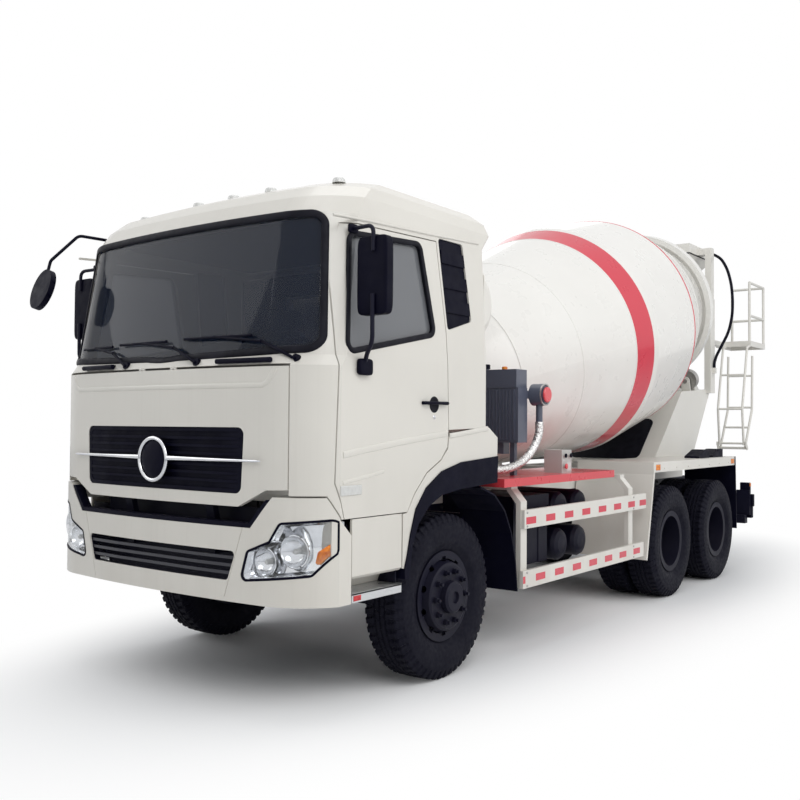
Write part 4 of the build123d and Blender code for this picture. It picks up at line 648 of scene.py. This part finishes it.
# Service flap trim. A thin bright bar across the grille, thickest beside a plain round boss, and the boss
# itself, a bare domed disc in a bright ring. Chromed castings pushed onto clips.
chrome = finish("bright_chrome", (0.70, 0.71, 0.73), 0.10, 1.0,
                tones=((6.0, 4.0), (0.62, 0.63, 0.66), (0.78, 0.79, 0.80)), gloss=((14.0, 5.0), 0.05, 0.20))


def cross_ways(axis):
    """The axis at unit length and two directions square to it."""
    axis = np.asarray(axis, float) / np.linalg.norm(axis)
    first = np.cross(axis, (0, 0, 1) if abs(axis[2]) < 0.9 else (1, 0, 0))
    first /= np.linalg.norm(first)
    return axis, first, np.cross(axis, first)


def turned(name, profile, centre, axis, mat, body, turns=48):
    """A profile of (along, radius) points turned round an axis: centre + along * axis + radius * (cos u,
    sin u). Profile ends on the axis are merged there."""
    axis, first, second = cross_ways(axis)
    u = np.arange(turns)[:, None, None] / turns * 2 * np.pi
    profile = np.asarray(profile, float)[None]
    spoke = np.cos(u) * first + np.sin(u) * second
    points = np.asarray(centre, float) + profile[..., :1] * axis + profile[..., 1:] * spoke
    return piece(name, points, grid_faces(*points.shape[:2], True, False), mat, body)


BAR_Z = 1.462
for side, sign in SIDES:
    x = sign * np.linspace(0.128, 0.880, 60)
    path = np.stack([x, cab_skin(x, BAR_Z + 0 * x) - 0.016, BAR_Z + 0 * x], axis=1)
    size = np.interp(np.abs(x), [0.128, 0.40, 0.86, 0.88], [0.016, 0.012, 0.007, 0.002])
    t = np.linspace(0, 2 * np.pi, 13)[:-1]
    ring = np.stack([0 * t, -np.cos(t) * 0.9, np.sin(t)], axis=1)
    piece(f"grille_bar_{side}", path[:, None, :] + size[:, None, None] * ring[None], capped_faces(60, 12), chrome,
          "flap")
t = np.linspace(0, 2 * np.pi, 17)[:-1]
ring = np.stack([0.012 * np.sin(t) + 0.030, 0.128 + 0.0125 * np.cos(t)], axis=1)
turned("grille_boss_ring", np.concatenate([ring, ring[:1]]), (0, CAB_FRONT + 0.010, 1.452), (0, -1, 0), chrome,
       "flap", 72)
turned("grille_boss", [(0.0, 0.118), (0.020, 0.118), (0.026, 0.110), (0.034, 0.080), (0.038, 0.040), (0.039, 0.0)],
       (0, CAB_FRONT + 0.006, 1.452), (0, -1, 0), moulded, "flap", 72)

# Roof marker lamps. Five low domes of grey-white plastic along the front of the roof, in place of the
# solids' plain balls, which are taken out of a copy of the trim. The other trim is shown as it is.
BALLS = ((-0.930, -0.930, 3.135), (0.930, -0.930, 3.135), (-0.370, -0.985, 3.139), (0.0, -0.985, 3.139),
         (0.370, -0.985, 3.139))
BALL_REACH = 0.0495
trim_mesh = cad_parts["cab_trim"].data.copy()
work = bmesh.new()
work.from_mesh(trim_mesh)
bmesh.ops.remove_doubles(work, verts=work.verts, dist=1e-5)
balls = [Vector((x, y + AXLE_Y, z)) for x, y, z in BALLS]
gone = [vert for vert in work.verts if min((vert.co - ball).length for ball in balls) < BALL_REACH]
bmesh.ops.delete(work, geom=gone, context="VERTS")
work.to_mesh(trim_mesh)
work.free()
trim_mesh.materials.clear()
trim_mesh.materials.append(moulded)
trim = placed("cab_trim_without_balls", trim_mesh)
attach(trim, "cab")
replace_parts(trim, "cab_trim")
clear_cap = finish("marker_lens", (0.62, 0.62, 0.60), 0.18, extra={"Coat Weight": 0.6},
                   tones=((40.0, 3.0), (0.58, 0.58, 0.56), (0.66, 0.66, 0.64)), grain=((120.0, 1.0), 0.0003, 0.3))
DOME = [(-0.006, 0.0), (-0.006, 0.0425), (0.010, 0.0405), (0.021, 0.0355), (0.0245, 0.030), (0.0255, 0.0)]
for number, (x, z) in enumerate([(-0.930, 3.143), (-0.350, 3.167), (0.0, 3.169), (0.350, 3.167), (0.930, 3.143)]):
    turned(f"roof_lamp_lens_{number}", DOME, (x, -0.850, z), (0, 0, 1), clear_cap, "cab", 32)

# Headlamps. A clear moulded cover flush with the bumper, a black rim round it, and behind it a bright
# vacuum-metallised bowl pair with an amber corner lamp. Clipped into the bumper from behind.
LAMP_MIDDLE = np.array([1.02, 0.985])
LAMP_CORNERS = [(0.733, 0.786), (1.149, 0.835), (1.258, 0.985), (1.243, 1.142), (0.996, 1.120), (0.936, 1.016),
                (0.781, 0.953)]
LAMP_OUTLINE = spaced(rounded(LAMP_CORNERS, 0.030, 6), 0.03)
# (scale, depth) of the rings of the cover, the housing and the amber lamp
COVER = [(0.0, 0.004), (0.5, 0.004), (0.9, 0.004), (0.985, 0.005), (0.985, 0.010), (0.9, 0.009), (0.5, 0.009),
         (0.0, 0.009)]
HOUSING = [(0.0, 0.085), (0.6, 0.085), (0.84, 0.070), (0.93, 0.020), (0.99, 0.012), (0.99, 0.050), (0.90, 0.092),
           (0.0, 0.095)]
AMBER = [(0.0, 0.012), (0.9, 0.012), (1.0, 0.014), (1.0, 0.020), (0.0, 0.020)]


def bumper_skin(x):
    """The bumper's front at x, on the plan ring of its own front."""
    return plan_y(np.minimum(np.abs(x), 1.2385), CAB_FRONT - 0.008, CAB_HALF)


def shell(name, rings, mat, body, crease=35):
    """Rings of points joined one to the next."""
    points = np.array(rings)
    return piece(name, points, grid_faces(*points.shape[:2], False, True), mat, body, crease=crease)


def lamp_shell(name, sign, rings, mat):
    """A shell over the lamp's outline. Each (scale, depth) ring is the outline drawn towards its middle by
    the scale and set behind the bumper's skin by the depth."""
    points = []
    for scale, depth in rings:
        flat = LAMP_MIDDLE + (LAMP_OUTLINE - LAMP_MIDDLE) * scale
        x = np.minimum(flat[:, 0], 1.2375)
        points.append(np.stack([sign * x, bumper_skin(x) + depth, flat[:, 1]], axis=1))
    return shell(name, points, mat, "chassis", 45)


lens_clear = finish("clear_lamp_cover", (0.96, 0.97, 0.98), 0.02, gloss=((5.0, 4.0), 0.01, 0.06),
                    extra={"Transmission Weight": 1.0, "IOR": 1.46})
amber = finish("amber_lens", (0.80, 0.22, 0.015), 0.16,
               tones=((60.0, 2.0), (0.62, 0.13, 0.010), (0.88, 0.30, 0.030)),
               grain=((90.0, 1.0, (1, 1, 0.1)), 0.001, 0.8))
red_lens = finish("red_lens", (0.55, 0.015, 0.020), 0.15,
                  tones=((60.0, 2.0), (0.40, 0.008, 0.012), (0.65, 0.030, 0.035)))
corner = np.array([(1.150, 0.862), (1.236, 0.985), (1.236, 1.035), (1.165, 0.965)])
corner_outline = spaced(rounded(corner, 0.012, 5), 0.02)
for side, sign in SIDES:
    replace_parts(lamp_shell(f"headlamp_cover_{side}", sign, COVER, lens_clear), "lamps")
    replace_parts(lamp_shell(f"headlamp_housing_{side}", sign, HOUSING, chrome), "lamps")
    for number, (x, z, size, facing) in enumerate([(0.890, 0.900, 0.076, 0.05), (1.055, 0.965, 0.088, 0.20)]):
        aim = (sign * facing, -1, 0)
        centre = (sign * x, float(bumper_skin(np.array(x))) + 0.030, z)
        bowl = [(0.002, size * 1.06), (0.004, size), (-0.020, size * 0.86), (-0.038, size * 0.60),
                (-0.046, size * 0.26), (-0.046, 0.0)]
        turned(f"headlamp_bowl_{side}_{number}", bowl, centre, aim, chrome, "chassis", 48)
        turned(f"headlamp_bulb_{side}_{number}", [(-0.046, 0.016), (-0.012, 0.016), (-0.004, 0.012), (0.0, 0.0)],
               centre, aim, clear_cap, "chassis", 24)
    x = np.minimum(LAMP_OUTLINE[:, 0], 1.2385)
    path = np.stack([sign * x, bumper_skin(x), LAMP_OUTLINE[:, 1]], axis=1)
    out = path * (0.6, 0.6, 0)
    out /= np.linalg.norm(out, axis=1, keepdims=True)
    capped_strip(f"headlamp_rim_{side}", path, out, half_round(0.014, 0.003, 7, -0.006), moulded, "chassis")
    points = []
    for scale, depth in AMBER:
        flat = corner.mean(axis=0) + (corner_outline - corner.mean(axis=0)) * scale
        points.append(np.stack([sign * np.minimum(flat[:, 0], 1.230), bumper_skin(flat[:, 0]) + depth, flat[:, 1]],
                               axis=1))
    shell(f"headlamp_amber_{side}", points, amber, "chassis")

# Rear lamp clusters. Black moulded boxes on the frame's end with a red, an amber and a clear lens each,
# clipped in a row and proud of the box by a few millimetres.


def blocks(name, boxes, mat, body, bevel=0.002):
    """Boxes in one mesh, each from its x, y and z limits, with the edges softened by a bevel."""
    cube = np.array([(0, 0, 0), (1, 0, 0), (1, 1, 0), (0, 1, 0), (0, 0, 1), (1, 0, 1), (1, 1, 1), (0, 1, 1)], float)
    sides = np.array([(0, 3, 2, 1), (4, 5, 6, 7), (0, 1, 5, 4), (1, 2, 6, 5), (2, 3, 7, 6), (3, 0, 4, 7)])
    ends = np.sort(np.array(boxes, float), axis=2)
    points = ends[:, None, :, 0] + cube[None] * (ends[:, :, 1] - ends[:, :, 0])[:, None, :]
    faces = sides[None] + 8 * np.arange(len(ends))[:, None, None]
    return piece(name, points, faces.reshape(-1, 4).tolist(), mat, body, crease=30, bevel=bevel)


def sided(sign, boxes):
    """The boxes on the side of that sign."""
    return [((sign * x1, sign * x2), y, z) for (x1, x2), y, z in boxes]


def mirrored(boxes):
    """The boxes and their images on the truck's other side."""
    return list(boxes) + sided(-1, boxes)


RAIL_END = 6.540
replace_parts(blocks("rear_lamp_boxes", mirrored([((1.000, 1.220), (RAIL_END, RAIL_END + 0.060), (0.700, 0.850)),
                                                ((1.040, 1.200), (RAIL_END, RAIL_END + 0.075), (0.560, 0.700)),
                                                ((1.060, 1.180), (RAIL_END, RAIL_END + 0.050), (0.850, 0.990))]),
                   moulded, "chassis", 0.008), "lamps")
LENS_FACE = (RAIL_END + 0.055, RAIL_END + 0.066)
blocks("rear_lamp_red", mirrored([((1.012, 1.100), LENS_FACE, (0.712, 0.838))]), red_lens, "chassis", 0.004)
blocks("rear_lamp_amber", mirrored([((1.110, 1.208), LENS_FACE, (0.712, 0.838)),
                                    ((1.070, 1.184), (RAIL_END + 0.004, RAIL_END + 0.044), (0.945, 0.985))]),
       amber, "chassis", 0.004)
blocks("rear_lamp_clear", mirrored([((1.052, 1.188), (RAIL_END + 0.070, RAIL_END + 0.0745), (0.580, 0.680))]),
       clear_cap, "chassis", 0.002)

# Reflective markings. Red retroreflective tape squares stuck on the white guard rails, and amber
# reflectors screwed to the mudguard rims.
tape = finish("red_reflective_tape", (0.62, 0.020, 0.050), 0.28, extra={"Coat Weight": 0.5})
shaded(tape, object_noise(tape, 900.0, 1.0), [(0.35, (0.52, 0.014, 0.038)), (0.65, (0.72, 0.032, 0.066))])
TAPE_X = (1.2395, 1.2412)
UPPER_TAPE = (0.916, 1.221, 1.528, 1.836, 2.145, 2.451, 2.752, 3.008)
LOWER_TAPE = (1.063, 1.366, 1.668, 1.967, 2.268, 2.566, 2.869)
squares = [(TAPE_X, (y, y + 0.147), (0.944, 0.996)) for y in UPPER_TAPE]
squares += [(TAPE_X, (y, y + 0.145), (0.515, 0.567)) for y in LOWER_TAPE]
blocks("guard_tape", mirrored(squares + [(TAPE_X, (0.872, 0.905), (0.515, 0.567))]), tape, "chassis",
       0.0004)
REFLECTORS = (3.400, 5.630)
blocks("mudguard_reflectors", mirrored([((1.2385, 1.2440), (y, y + 0.105), (1.252, 1.306)) for y in REFLECTORS]),
       amber, "chassis", 0.003)
blocks("mudguard_reflector_frames",
       mirrored([((1.2385, 1.2412), (y - 0.008, y + 0.113), (1.245, 1.313)) for y in REFLECTORS]),
       clear_cap, "chassis", 0.001)

# Mirrors. A deep black moulded head with rounded corners on an upright steel rod, held top and bottom by
# brackets on the door, with a flat glass behind and the door's pull handle below.


def bent(points, radius, steps=8):
    """A polyline with each corner eased by a curve whose ends lie a radius away, through P = (1-t)^2 A +
    2t(1-t) B + t^2 C."""
    points = np.asarray(points, float)
    parts = [points[:1]]
    for a, b, c in zip(points, points[1:], points[2:]):
        r = min(radius, 0.45 * np.linalg.norm(a - b), 0.45 * np.linalg.norm(c - b))
        first = b + (a - b) / np.linalg.norm(a - b) * r
        last = b + (c - b) / np.linalg.norm(c - b) * r
        t = np.linspace(0, 1, steps)[:, None]
        parts.append((1 - t) ** 2 * first + 2 * t * (1 - t) * b + t ** 2 * last)
    parts.append(points[-1:])
    return np.concatenate(parts)


def tube(name, points, radius, mat, body, bend, turns=14):
    """Round bar along a bent polyline. The first cross direction is carried on by taking out its part
    along each new tangent."""
    path = bent(points, bend)
    along = np.gradient(path, axis=0)
    along /= np.linalg.norm(along, axis=1, keepdims=True)
    side = np.cross(along[0], (0, 0, 1) if abs(along[0][2]) < 0.9 else (1, 0, 0))
    sides = []
    for t in along:
        side = side - (side @ t) * t
        side /= np.linalg.norm(side)
        sides.append(side)
    sides = np.array(sides)
    other = np.cross(along, sides)
    u = np.arange(turns)[None, :, None] / turns * 2 * np.pi
    ring = path[:, None, :] + radius * (np.cos(u) * sides[:, None, :] + np.sin(u) * other[:, None, :])
    return piece(name, ring, capped_faces(len(path), turns), mat, body, crease=50)


def cushion(name, middle, half, power, crown, mat, body, lean=0.0, grooves=(), rows=72, turns=120):
    """A rounded box: on a unit sphere each coordinate's size is raised to a power, which squares it off, then
    scaled to the half sizes; its top and bottom crown by crown * (1-x^2)(1-y^2), and grooves cut across."""
    v = np.linspace(-np.pi / 2, np.pi / 2, rows)[:, None]
    u = np.arange(turns)[None, :] / turns * 2 * np.pi
    ball = np.stack([np.cos(v) * np.cos(u), np.cos(v) * np.sin(u), np.sin(v) + 0 * u], axis=-1)
    box = np.sign(ball) * np.abs(ball) ** power
    dome = crown * (1 - box[..., 0] ** 2).clip(0) * (1 - box[..., 1] ** 2).clip(0)
    for place, width, depth in grooves:
        dome = dome - depth * np.exp(-((box[..., 0] - place) / width) ** 2) * (np.abs(box[..., 1]) < 0.97)
    at = box * np.asarray(half)
    at[..., 2] += dome * np.sign(box[..., 2])
    c, s = math.cos(lean), math.sin(lean)
    y, z = at[..., 1] * c - at[..., 2] * s, at[..., 1] * s + at[..., 2] * c
    return shell(name, np.stack([at[..., 0], y, z], axis=-1) + np.asarray(middle), mat, body, 60)


silvered = finish("mirror_glass", (0.86, 0.87, 0.88), 0.02, 1.0, gloss=((4.0, 4.0), 0.01, 0.05))
# name, middle, half sizes, squareness, finish, slot, rows and turns of the rounded boxes
MIRROR_PARTS = [
    ("head", (1.370, -1.040, 2.5075), (0.108, 0.035, 0.2225), 0.22, moulded, "black_plastic", 64, 96),
    ("glass", (1.370, -1.004, 2.5075), (0.096, 0.002, 0.208), 0.16, silvered, "steel", 40, 64),
    ("foot", (1.257, -0.985, 2.000), (0.018, 0.060, 0.048), 0.4, moulded, "black_plastic", 24, 32),
    ("top_foot", (1.214, -1.050, 2.790), (0.010, 0.040, 0.026), 0.4, moulded, "black_plastic", 20, 28),
]
# name, points, radius, finish, ease of the bends of the bars
MIRROR_BARS = [
    ("rod", [(1.262, -0.990, 2.030), (1.300, -1.020, 2.075), (1.388, -1.082, 2.130), (1.388, -1.084, 2.250),
             (1.388, -1.084, 2.400)], 0.013, underneath, 0.06),
    ("stay", [(1.388, -1.080, 2.640), (1.388, -1.080, 2.785), (1.215, -1.050, 2.790)], 0.012, underneath, 0.05),
    ("pull_handle", [(1.241, -0.400, 1.808), (1.262, -0.395, 1.808), (1.266, -0.270, 1.809),
                     (1.262, -0.145, 1.810), (1.241, -0.140, 1.810)], 0.011, moulded, 0.02),
]
HANDLE_CUP = [(0.0, 0.052), (0.0015, 0.052), (0.0025, 0.046), (0.0015, 0.040), (0.0012, 0.0)]
DOOR_LOCK = [(0.0, 0.013), (0.003, 0.013), (0.004, 0.010), (0.004, 0.0)]
for side, sign in SIDES:
    body = f"door_{side}"
    node = f"mirror_{side}"
    for part, (x, y, z), half, power, mat, slot, rows, turns in MIRROR_PARTS:
        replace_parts(cushion(f"{node}_{part}", (sign * x, y, z), half, power, 0.0, mat, body, 0.0, (),
                            rows, turns), node)
    for part, points, radius, mat, bend in MIRROR_BARS:
        points = [(sign * x, y, z) for x, y, z in points]
        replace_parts(tube(f"{node}_{part}", points, radius, mat, body, bend), node)
    turned(f"door_handle_cup_{side}", HANDLE_CUP, (sign * 1.2395, -0.270, 1.800), (sign, 0, 0), seal, body,
           40)
    turned(f"door_lock_{side}", DOOR_LOCK, (sign * 1.2395, -0.270, 1.720), (sign, 0, 0), chrome, body, 24)

# Cab inside. Two padded seats in grey cloth over foam on steel boxes, a dark moulded lining on the walls
# and roof, and cards on the doors, all seen through the glass.
cloth = finish("grey_seat_cloth", (0.060, 0.062, 0.070), 0.92, extra={"Sheen Weight": 0.3},
               tones=((90.0, 4.0), (0.040, 0.042, 0.050), (0.085, 0.088, 0.098)), grain=((300.0, 1.0), 0.0006, 0.4))
PLEATS = ((-0.42, 0.03, 0.010), (0.42, 0.03, 0.010))
# name, y and z of the middle, half sizes, squareness, crown, lean in radians, grooves of each pad
PADS = [
    ("cushion", (-0.170, 1.780), (0.240, 0.250, 0.118), 0.42, 0.020, 0.05, PLEATS),
    ("back", (0.180, 2.090), (0.230, 0.320, 0.058), 0.40, 0.016, math.radians(81), PLEATS),
    ("headrest", (0.238, 2.490), (0.140, 0.085, 0.045), 0.45, 0.008, math.radians(83), ()),
]
for side, sign in SIDES:
    x = sign * 0.56
    for part, (y, z), half, power, crown, lean, grooves in PADS:
        pad = cushion(f"seat_{part}_{side}", (x, y, z), half, power, crown, cloth, "cab", lean, grooves)
        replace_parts(pad, "cab_seats")
    base = blocks(f"seat_base_{side}", [((x - 0.18, x + 0.18), (-0.30, 0.0), (1.452, 1.670))], moulded, "cab",
                  0.012)
    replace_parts(base, "cab_seats")
trim_grey = finish("cab_lining_board", (0.022, 0.023, 0.030), 0.75,
                   tones=((8.0, 5.0), (0.018, 0.019, 0.026), (0.027, 0.028, 0.036)))
REAR_WALL = (0.300, 0.312)
blocks("cab_lining", [((-1.14, 1.14), REAR_WALL, (1.660, 2.110)), ((-1.14, -0.640), REAR_WALL, (2.110, 2.860)),
                      ((0.640, 1.14), REAR_WALL, (2.110, 2.860)), ((-0.640, 0.640), REAR_WALL, (2.690, 2.860)),
                      ((-1.04, 1.04), (-0.95, 0.300), (2.925, 2.937))],
       trim_grey, "cab", 0.004)
for side, sign in SIDES:
    blocks(f"door_card_{side}", sided(sign, [((1.150, 1.168), (-1.060, -0.200), (1.700, 2.040))]), trim_grey,
           f"door_{side}", 0.006)
# A black panel behind the bumper's openings: painted shade, a dark sheet standing in for the shade inside the
# bumper.
blocks("bumper_shade_panel", [((-0.760, 0.760), (-1.245, -1.235), (0.700, 1.180))], underneath, "chassis",
       0.002)

# Entry steps. A pressed ivory panel scooped in over a chequered aluminium tread, with a second tread
# above it and a red reflector at the front end, bolted to an arm on the frame.
SCOOP = np.array([(1.240, 1.135), (1.240, 0.812), (1.222, 0.796), (1.140, 0.785), (1.080, 0.760), (1.062, 0.716),
                  (1.046, 0.716), (1.064, 0.774), (1.136, 0.802), (1.206, 0.812), (1.222, 0.830), (1.222, 1.135)])
STEP_Y = (-1.066, -0.602)
TREADS = [((1.000, 1.240), STEP_Y, (0.704, 0.716)), ((1.228, 1.240), STEP_Y, (0.662, 0.716)),
          ((1.000, 1.205), STEP_Y, (0.946, 0.958))]
BRACKETS = [((0.985, 1.005), STEP_Y, (0.662, 1.100)), ((0.430, 0.990), (-0.900, -0.820), (0.800, 0.880)),
            ((1.000, 1.200), (-1.066, -1.058), (0.716, 1.100)), ((1.000, 1.200), (-0.612, -0.602), (0.716, 1.100))]
bright = finish("chequered_aluminium", (0.62, 0.63, 0.64), 0.34, 1.0, gloss=((30.0, 5.0), 0.26, 0.48))
x, y, z = across(bright)
plus = sums(bright, "SINE", sums(bright, "MULTIPLY", sums(bright, "ADD", x, y), 150.0))
minus = sums(bright, "SINE", sums(bright, "MULTIPLY", sums(bright, "SUBTRACT", x, y), 150.0))
lozenge = ranged(bright, sums(bright, "MULTIPLY", plus, minus), 0.0, 1.0, target=None, start=0.55, end=0.75)
bumped(bright, lozenge, 0.0016, 0.9)
for side, sign in SIDES:
    points = [[(sign * x, y, z) for x, z in SCOOP] for y in STEP_Y]
    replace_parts(piece(f"step_panel_{side}", points, capped_faces(2, len(SCOOP)), ivory, "chassis",
                      crease=30, bevel=0.002), "cab_steps")
    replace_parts(blocks(f"step_treads_{side}", sided(sign, TREADS), bright, "chassis", 0.002), "cab_steps")
    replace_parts(blocks(f"step_bracket_{side}", sided(sign, BRACKETS), underneath, "chassis", 0.003),
                "cab_steps")
    blocks(f"step_reflector_{side}", sided(sign, [((1.2385, 1.2425), (-1.050, -0.985), (0.672, 0.702))]),
           red_lens, "chassis", 0.001)
    blocks(f"side_marker_{side}", sided(sign, [((1.2385, 1.2470), (-1.172, -0.990), (1.272, 1.328))]),
           clear_cap, f"door_{side}", 0.004)

# Cooler and tank fittings. Rubber-lipped caps, a fan ring behind the core, a red filter end, knobs and a
# stop button on the control box, and polished straps round the water tank.
STRAP = [(-0.030, 0.2505), (-0.030, 0.2545), (0.030, 0.2545), (0.030, 0.2505), (-0.030, 0.2505)]
KNOB = [(0.0, 0.018), (0.006, 0.018), (0.010, 0.014), (0.012, 0.0)]
# name, profile, centre, axis, finish, slot, turns
FITTINGS = [
    ("filter_end_cap", [(0.0, 0.060), (0.010, 0.060), (0.016, 0.052), (0.016, 0.0)],
     (1.204, 1.290, 1.910), (1, 0, 0), red_gloss, "red_paint", 48),
    ("filter_end_ring", [(-0.002, 0.086), (0.006, 0.086), (0.006, 0.076), (-0.002, 0.076), (-0.002, 0.086)],
     (1.190, 1.290, 1.910), (1, 0, 0), machined, "steel", 48),
    ("cooler_filler_cap", [(0.0, 0.034), (0.030, 0.034), (0.036, 0.028), (0.037, 0.0)],
     (0.760, 1.120, 2.112), (0, 0, 1), moulded, "black_plastic", 32),
    ("cooler_breather_cap", [(0.0, 0.022), (0.024, 0.022), (0.028, 0.016), (0.028, 0.0)],
     (0.930, 1.120, 2.099), (0, 0, 1), amber, "lamp", 28),
    ("cooler_fan_ring", [(0.0, 0.190), (0.026, 0.190), (0.030, 0.184), (0.026, 0.176), (0.0, 0.176)],
     (0.865, 1.192, 1.750), (0, 1, 0), moulded, "black_plastic", 56),
    ("tank_strap_right", STRAP, (-0.530, 0.720, 2.575), (1, 0, 0), machined, "steel", 96),
    ("tank_strap_left", STRAP, (0.530, 0.720, 2.575), (1, 0, 0), machined, "steel", 96),
    ("stop_button", [(0.0, 0.014), (0.004, 0.014), (0.005, 0.022), (0.012, 0.022), (0.015, 0.016), (0.016, 0.0)],
     (1.163, 1.690, 1.345), (1, 0, 0), red_gloss, "red_paint", 32),
    ("control_knob_0", KNOB, (1.163, 1.690, 1.430), (1, 0, 0), moulded, "black_plastic", 28),
    ("control_knob_1", KNOB, (1.163, 1.780, 1.430), (1, 0, 0), moulded, "black_plastic", 28),
]
for name, profile, centre, axis, mat, slot, turns in FITTINGS:
    turned(name, profile, centre, axis, mat, "chassis", turns)
blocks("control_plates", [((1.1495, 1.1520), (1.735, 1.805), (1.305, 1.375)),
                          ((1.1495, 1.1515), (1.672, 1.712), (1.385, 1.400))], clear_cap, "chassis", 0.0006)

# Drum welds and fixings. Raised beads where the drum's rings of plate are joined, and hexagon bolts along
# the frame rails, mudguards and side guards.
t = np.linspace(0, np.pi, 7)
# place along the axis and radius of each bead
WELDS = [(-1.400, 0.800), (-0.570, 0.955), (0.260, 1.110), (0.950, 1.151), (1.650, 1.190), (2.300, 1.009),
         (2.940, 0.830)]
for number, (s, r) in enumerate(WELDS):
    bead = np.stack([s + 0.009 * np.cos(t), r - 0.001 + 0.0035 * np.sin(t)], axis=1)
    turned(f"drum_weld_{number}", np.concatenate([bead, bead[:1]]), DRUM_START, DRUM_AXIS, drum_paint, "drum",
           128)


def bolts(name, places, axis, radius, height, mat):
    """Hexagon heads: at each place six corners at 60 degree steps, a straight side and a chamfered top."""
    axis, first, second = cross_ways(axis)
    u = np.arange(6)[:, None] / 6 * 2 * np.pi
    ring = radius * (np.cos(u) * first + np.sin(u) * second)
    head = np.concatenate([ring - axis * 0.001, ring + axis * height * 0.85, ring * 0.86 + axis * height])
    points = np.asarray(places, float)[:, None, :] + head[None]
    faces = [[index + len(head) * number for index in face]
             for number in range(len(places)) for face in capped_faces(3, 6)]
    return piece(name, points, faces, mat, "chassis", crease=25)


for side, sign in SIDES:
    rail = [(sign * 0.4305, y, z) for y in np.arange(0.35, 6.45, 0.32) for z in (0.86, 1.02)]
    bolts(f"rail_bolts_{side}", rail, (sign, 0, 0), 0.014, 0.012, castings)
    panel = [(sign * 1.2405, y, 1.268) for y in np.arange(3.62, 5.60, 0.32)]
    bolts(f"mudguard_bolts_{side}", panel, (sign, 0, 0), 0.009, 0.006, offwhite)
    guard = [(sign * 1.2405, y, z) for y in (0.930, 2.871) for z in (0.930, 1.030, 0.495, 0.590)]
    bolts(f"guard_bolts_{side}", guard, (sign, 0, 0), 0.009, 0.005, machined)

# Hopper gasket. A black rubber strip glued round the outside of the hopper's top edge.
LIP_Z = (3.852, 3.868)
blocks("hopper_gasket", [((-0.503, 0.503), (6.356, 6.361), LIP_Z), ((-0.503, 0.503), (7.189, 7.194), LIP_Z),
                         ((-0.505, -0.499), (6.356, 7.194), LIP_Z), ((0.499, 0.505), (6.356, 7.194), LIP_Z)],
       seal, "chassis", 0.001)

# Pedestal opening. A black rubber sheet laid over the opening in the rear pedestal's leaning front plate, with
# its corners rounded: painted shade, a dark sheet standing in for the shade inside the opening.
uphill = np.array([0, 0.910, 0.840]) / math.hypot(0.910, 0.840)
outward = np.array([0, -uphill[2], uphill[1]])
foot = np.array([0, 4.850, 1.250])
middle = np.array([0, 0.410])
flat = spaced(rounded([(-0.430, 0.070), (0.430, 0.070), (0.430, 0.750), (-0.430, 0.750)], 0.090, 8), 0.04)
rings = []
for scale, rise in ((0.0, 0.004), (0.98, 0.004), (1.0, 0.003), (1.0, 0.0005), (0.0, 0.0005)):
    shape = middle + (flat - middle) * scale
    rings.append(foot + shape[:, :1] * (1, 0, 0) + shape[:, 1:] * uphill + rise * outward)
shell("pedestal_opening_shade", rings, seal, "chassis")

low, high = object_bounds()
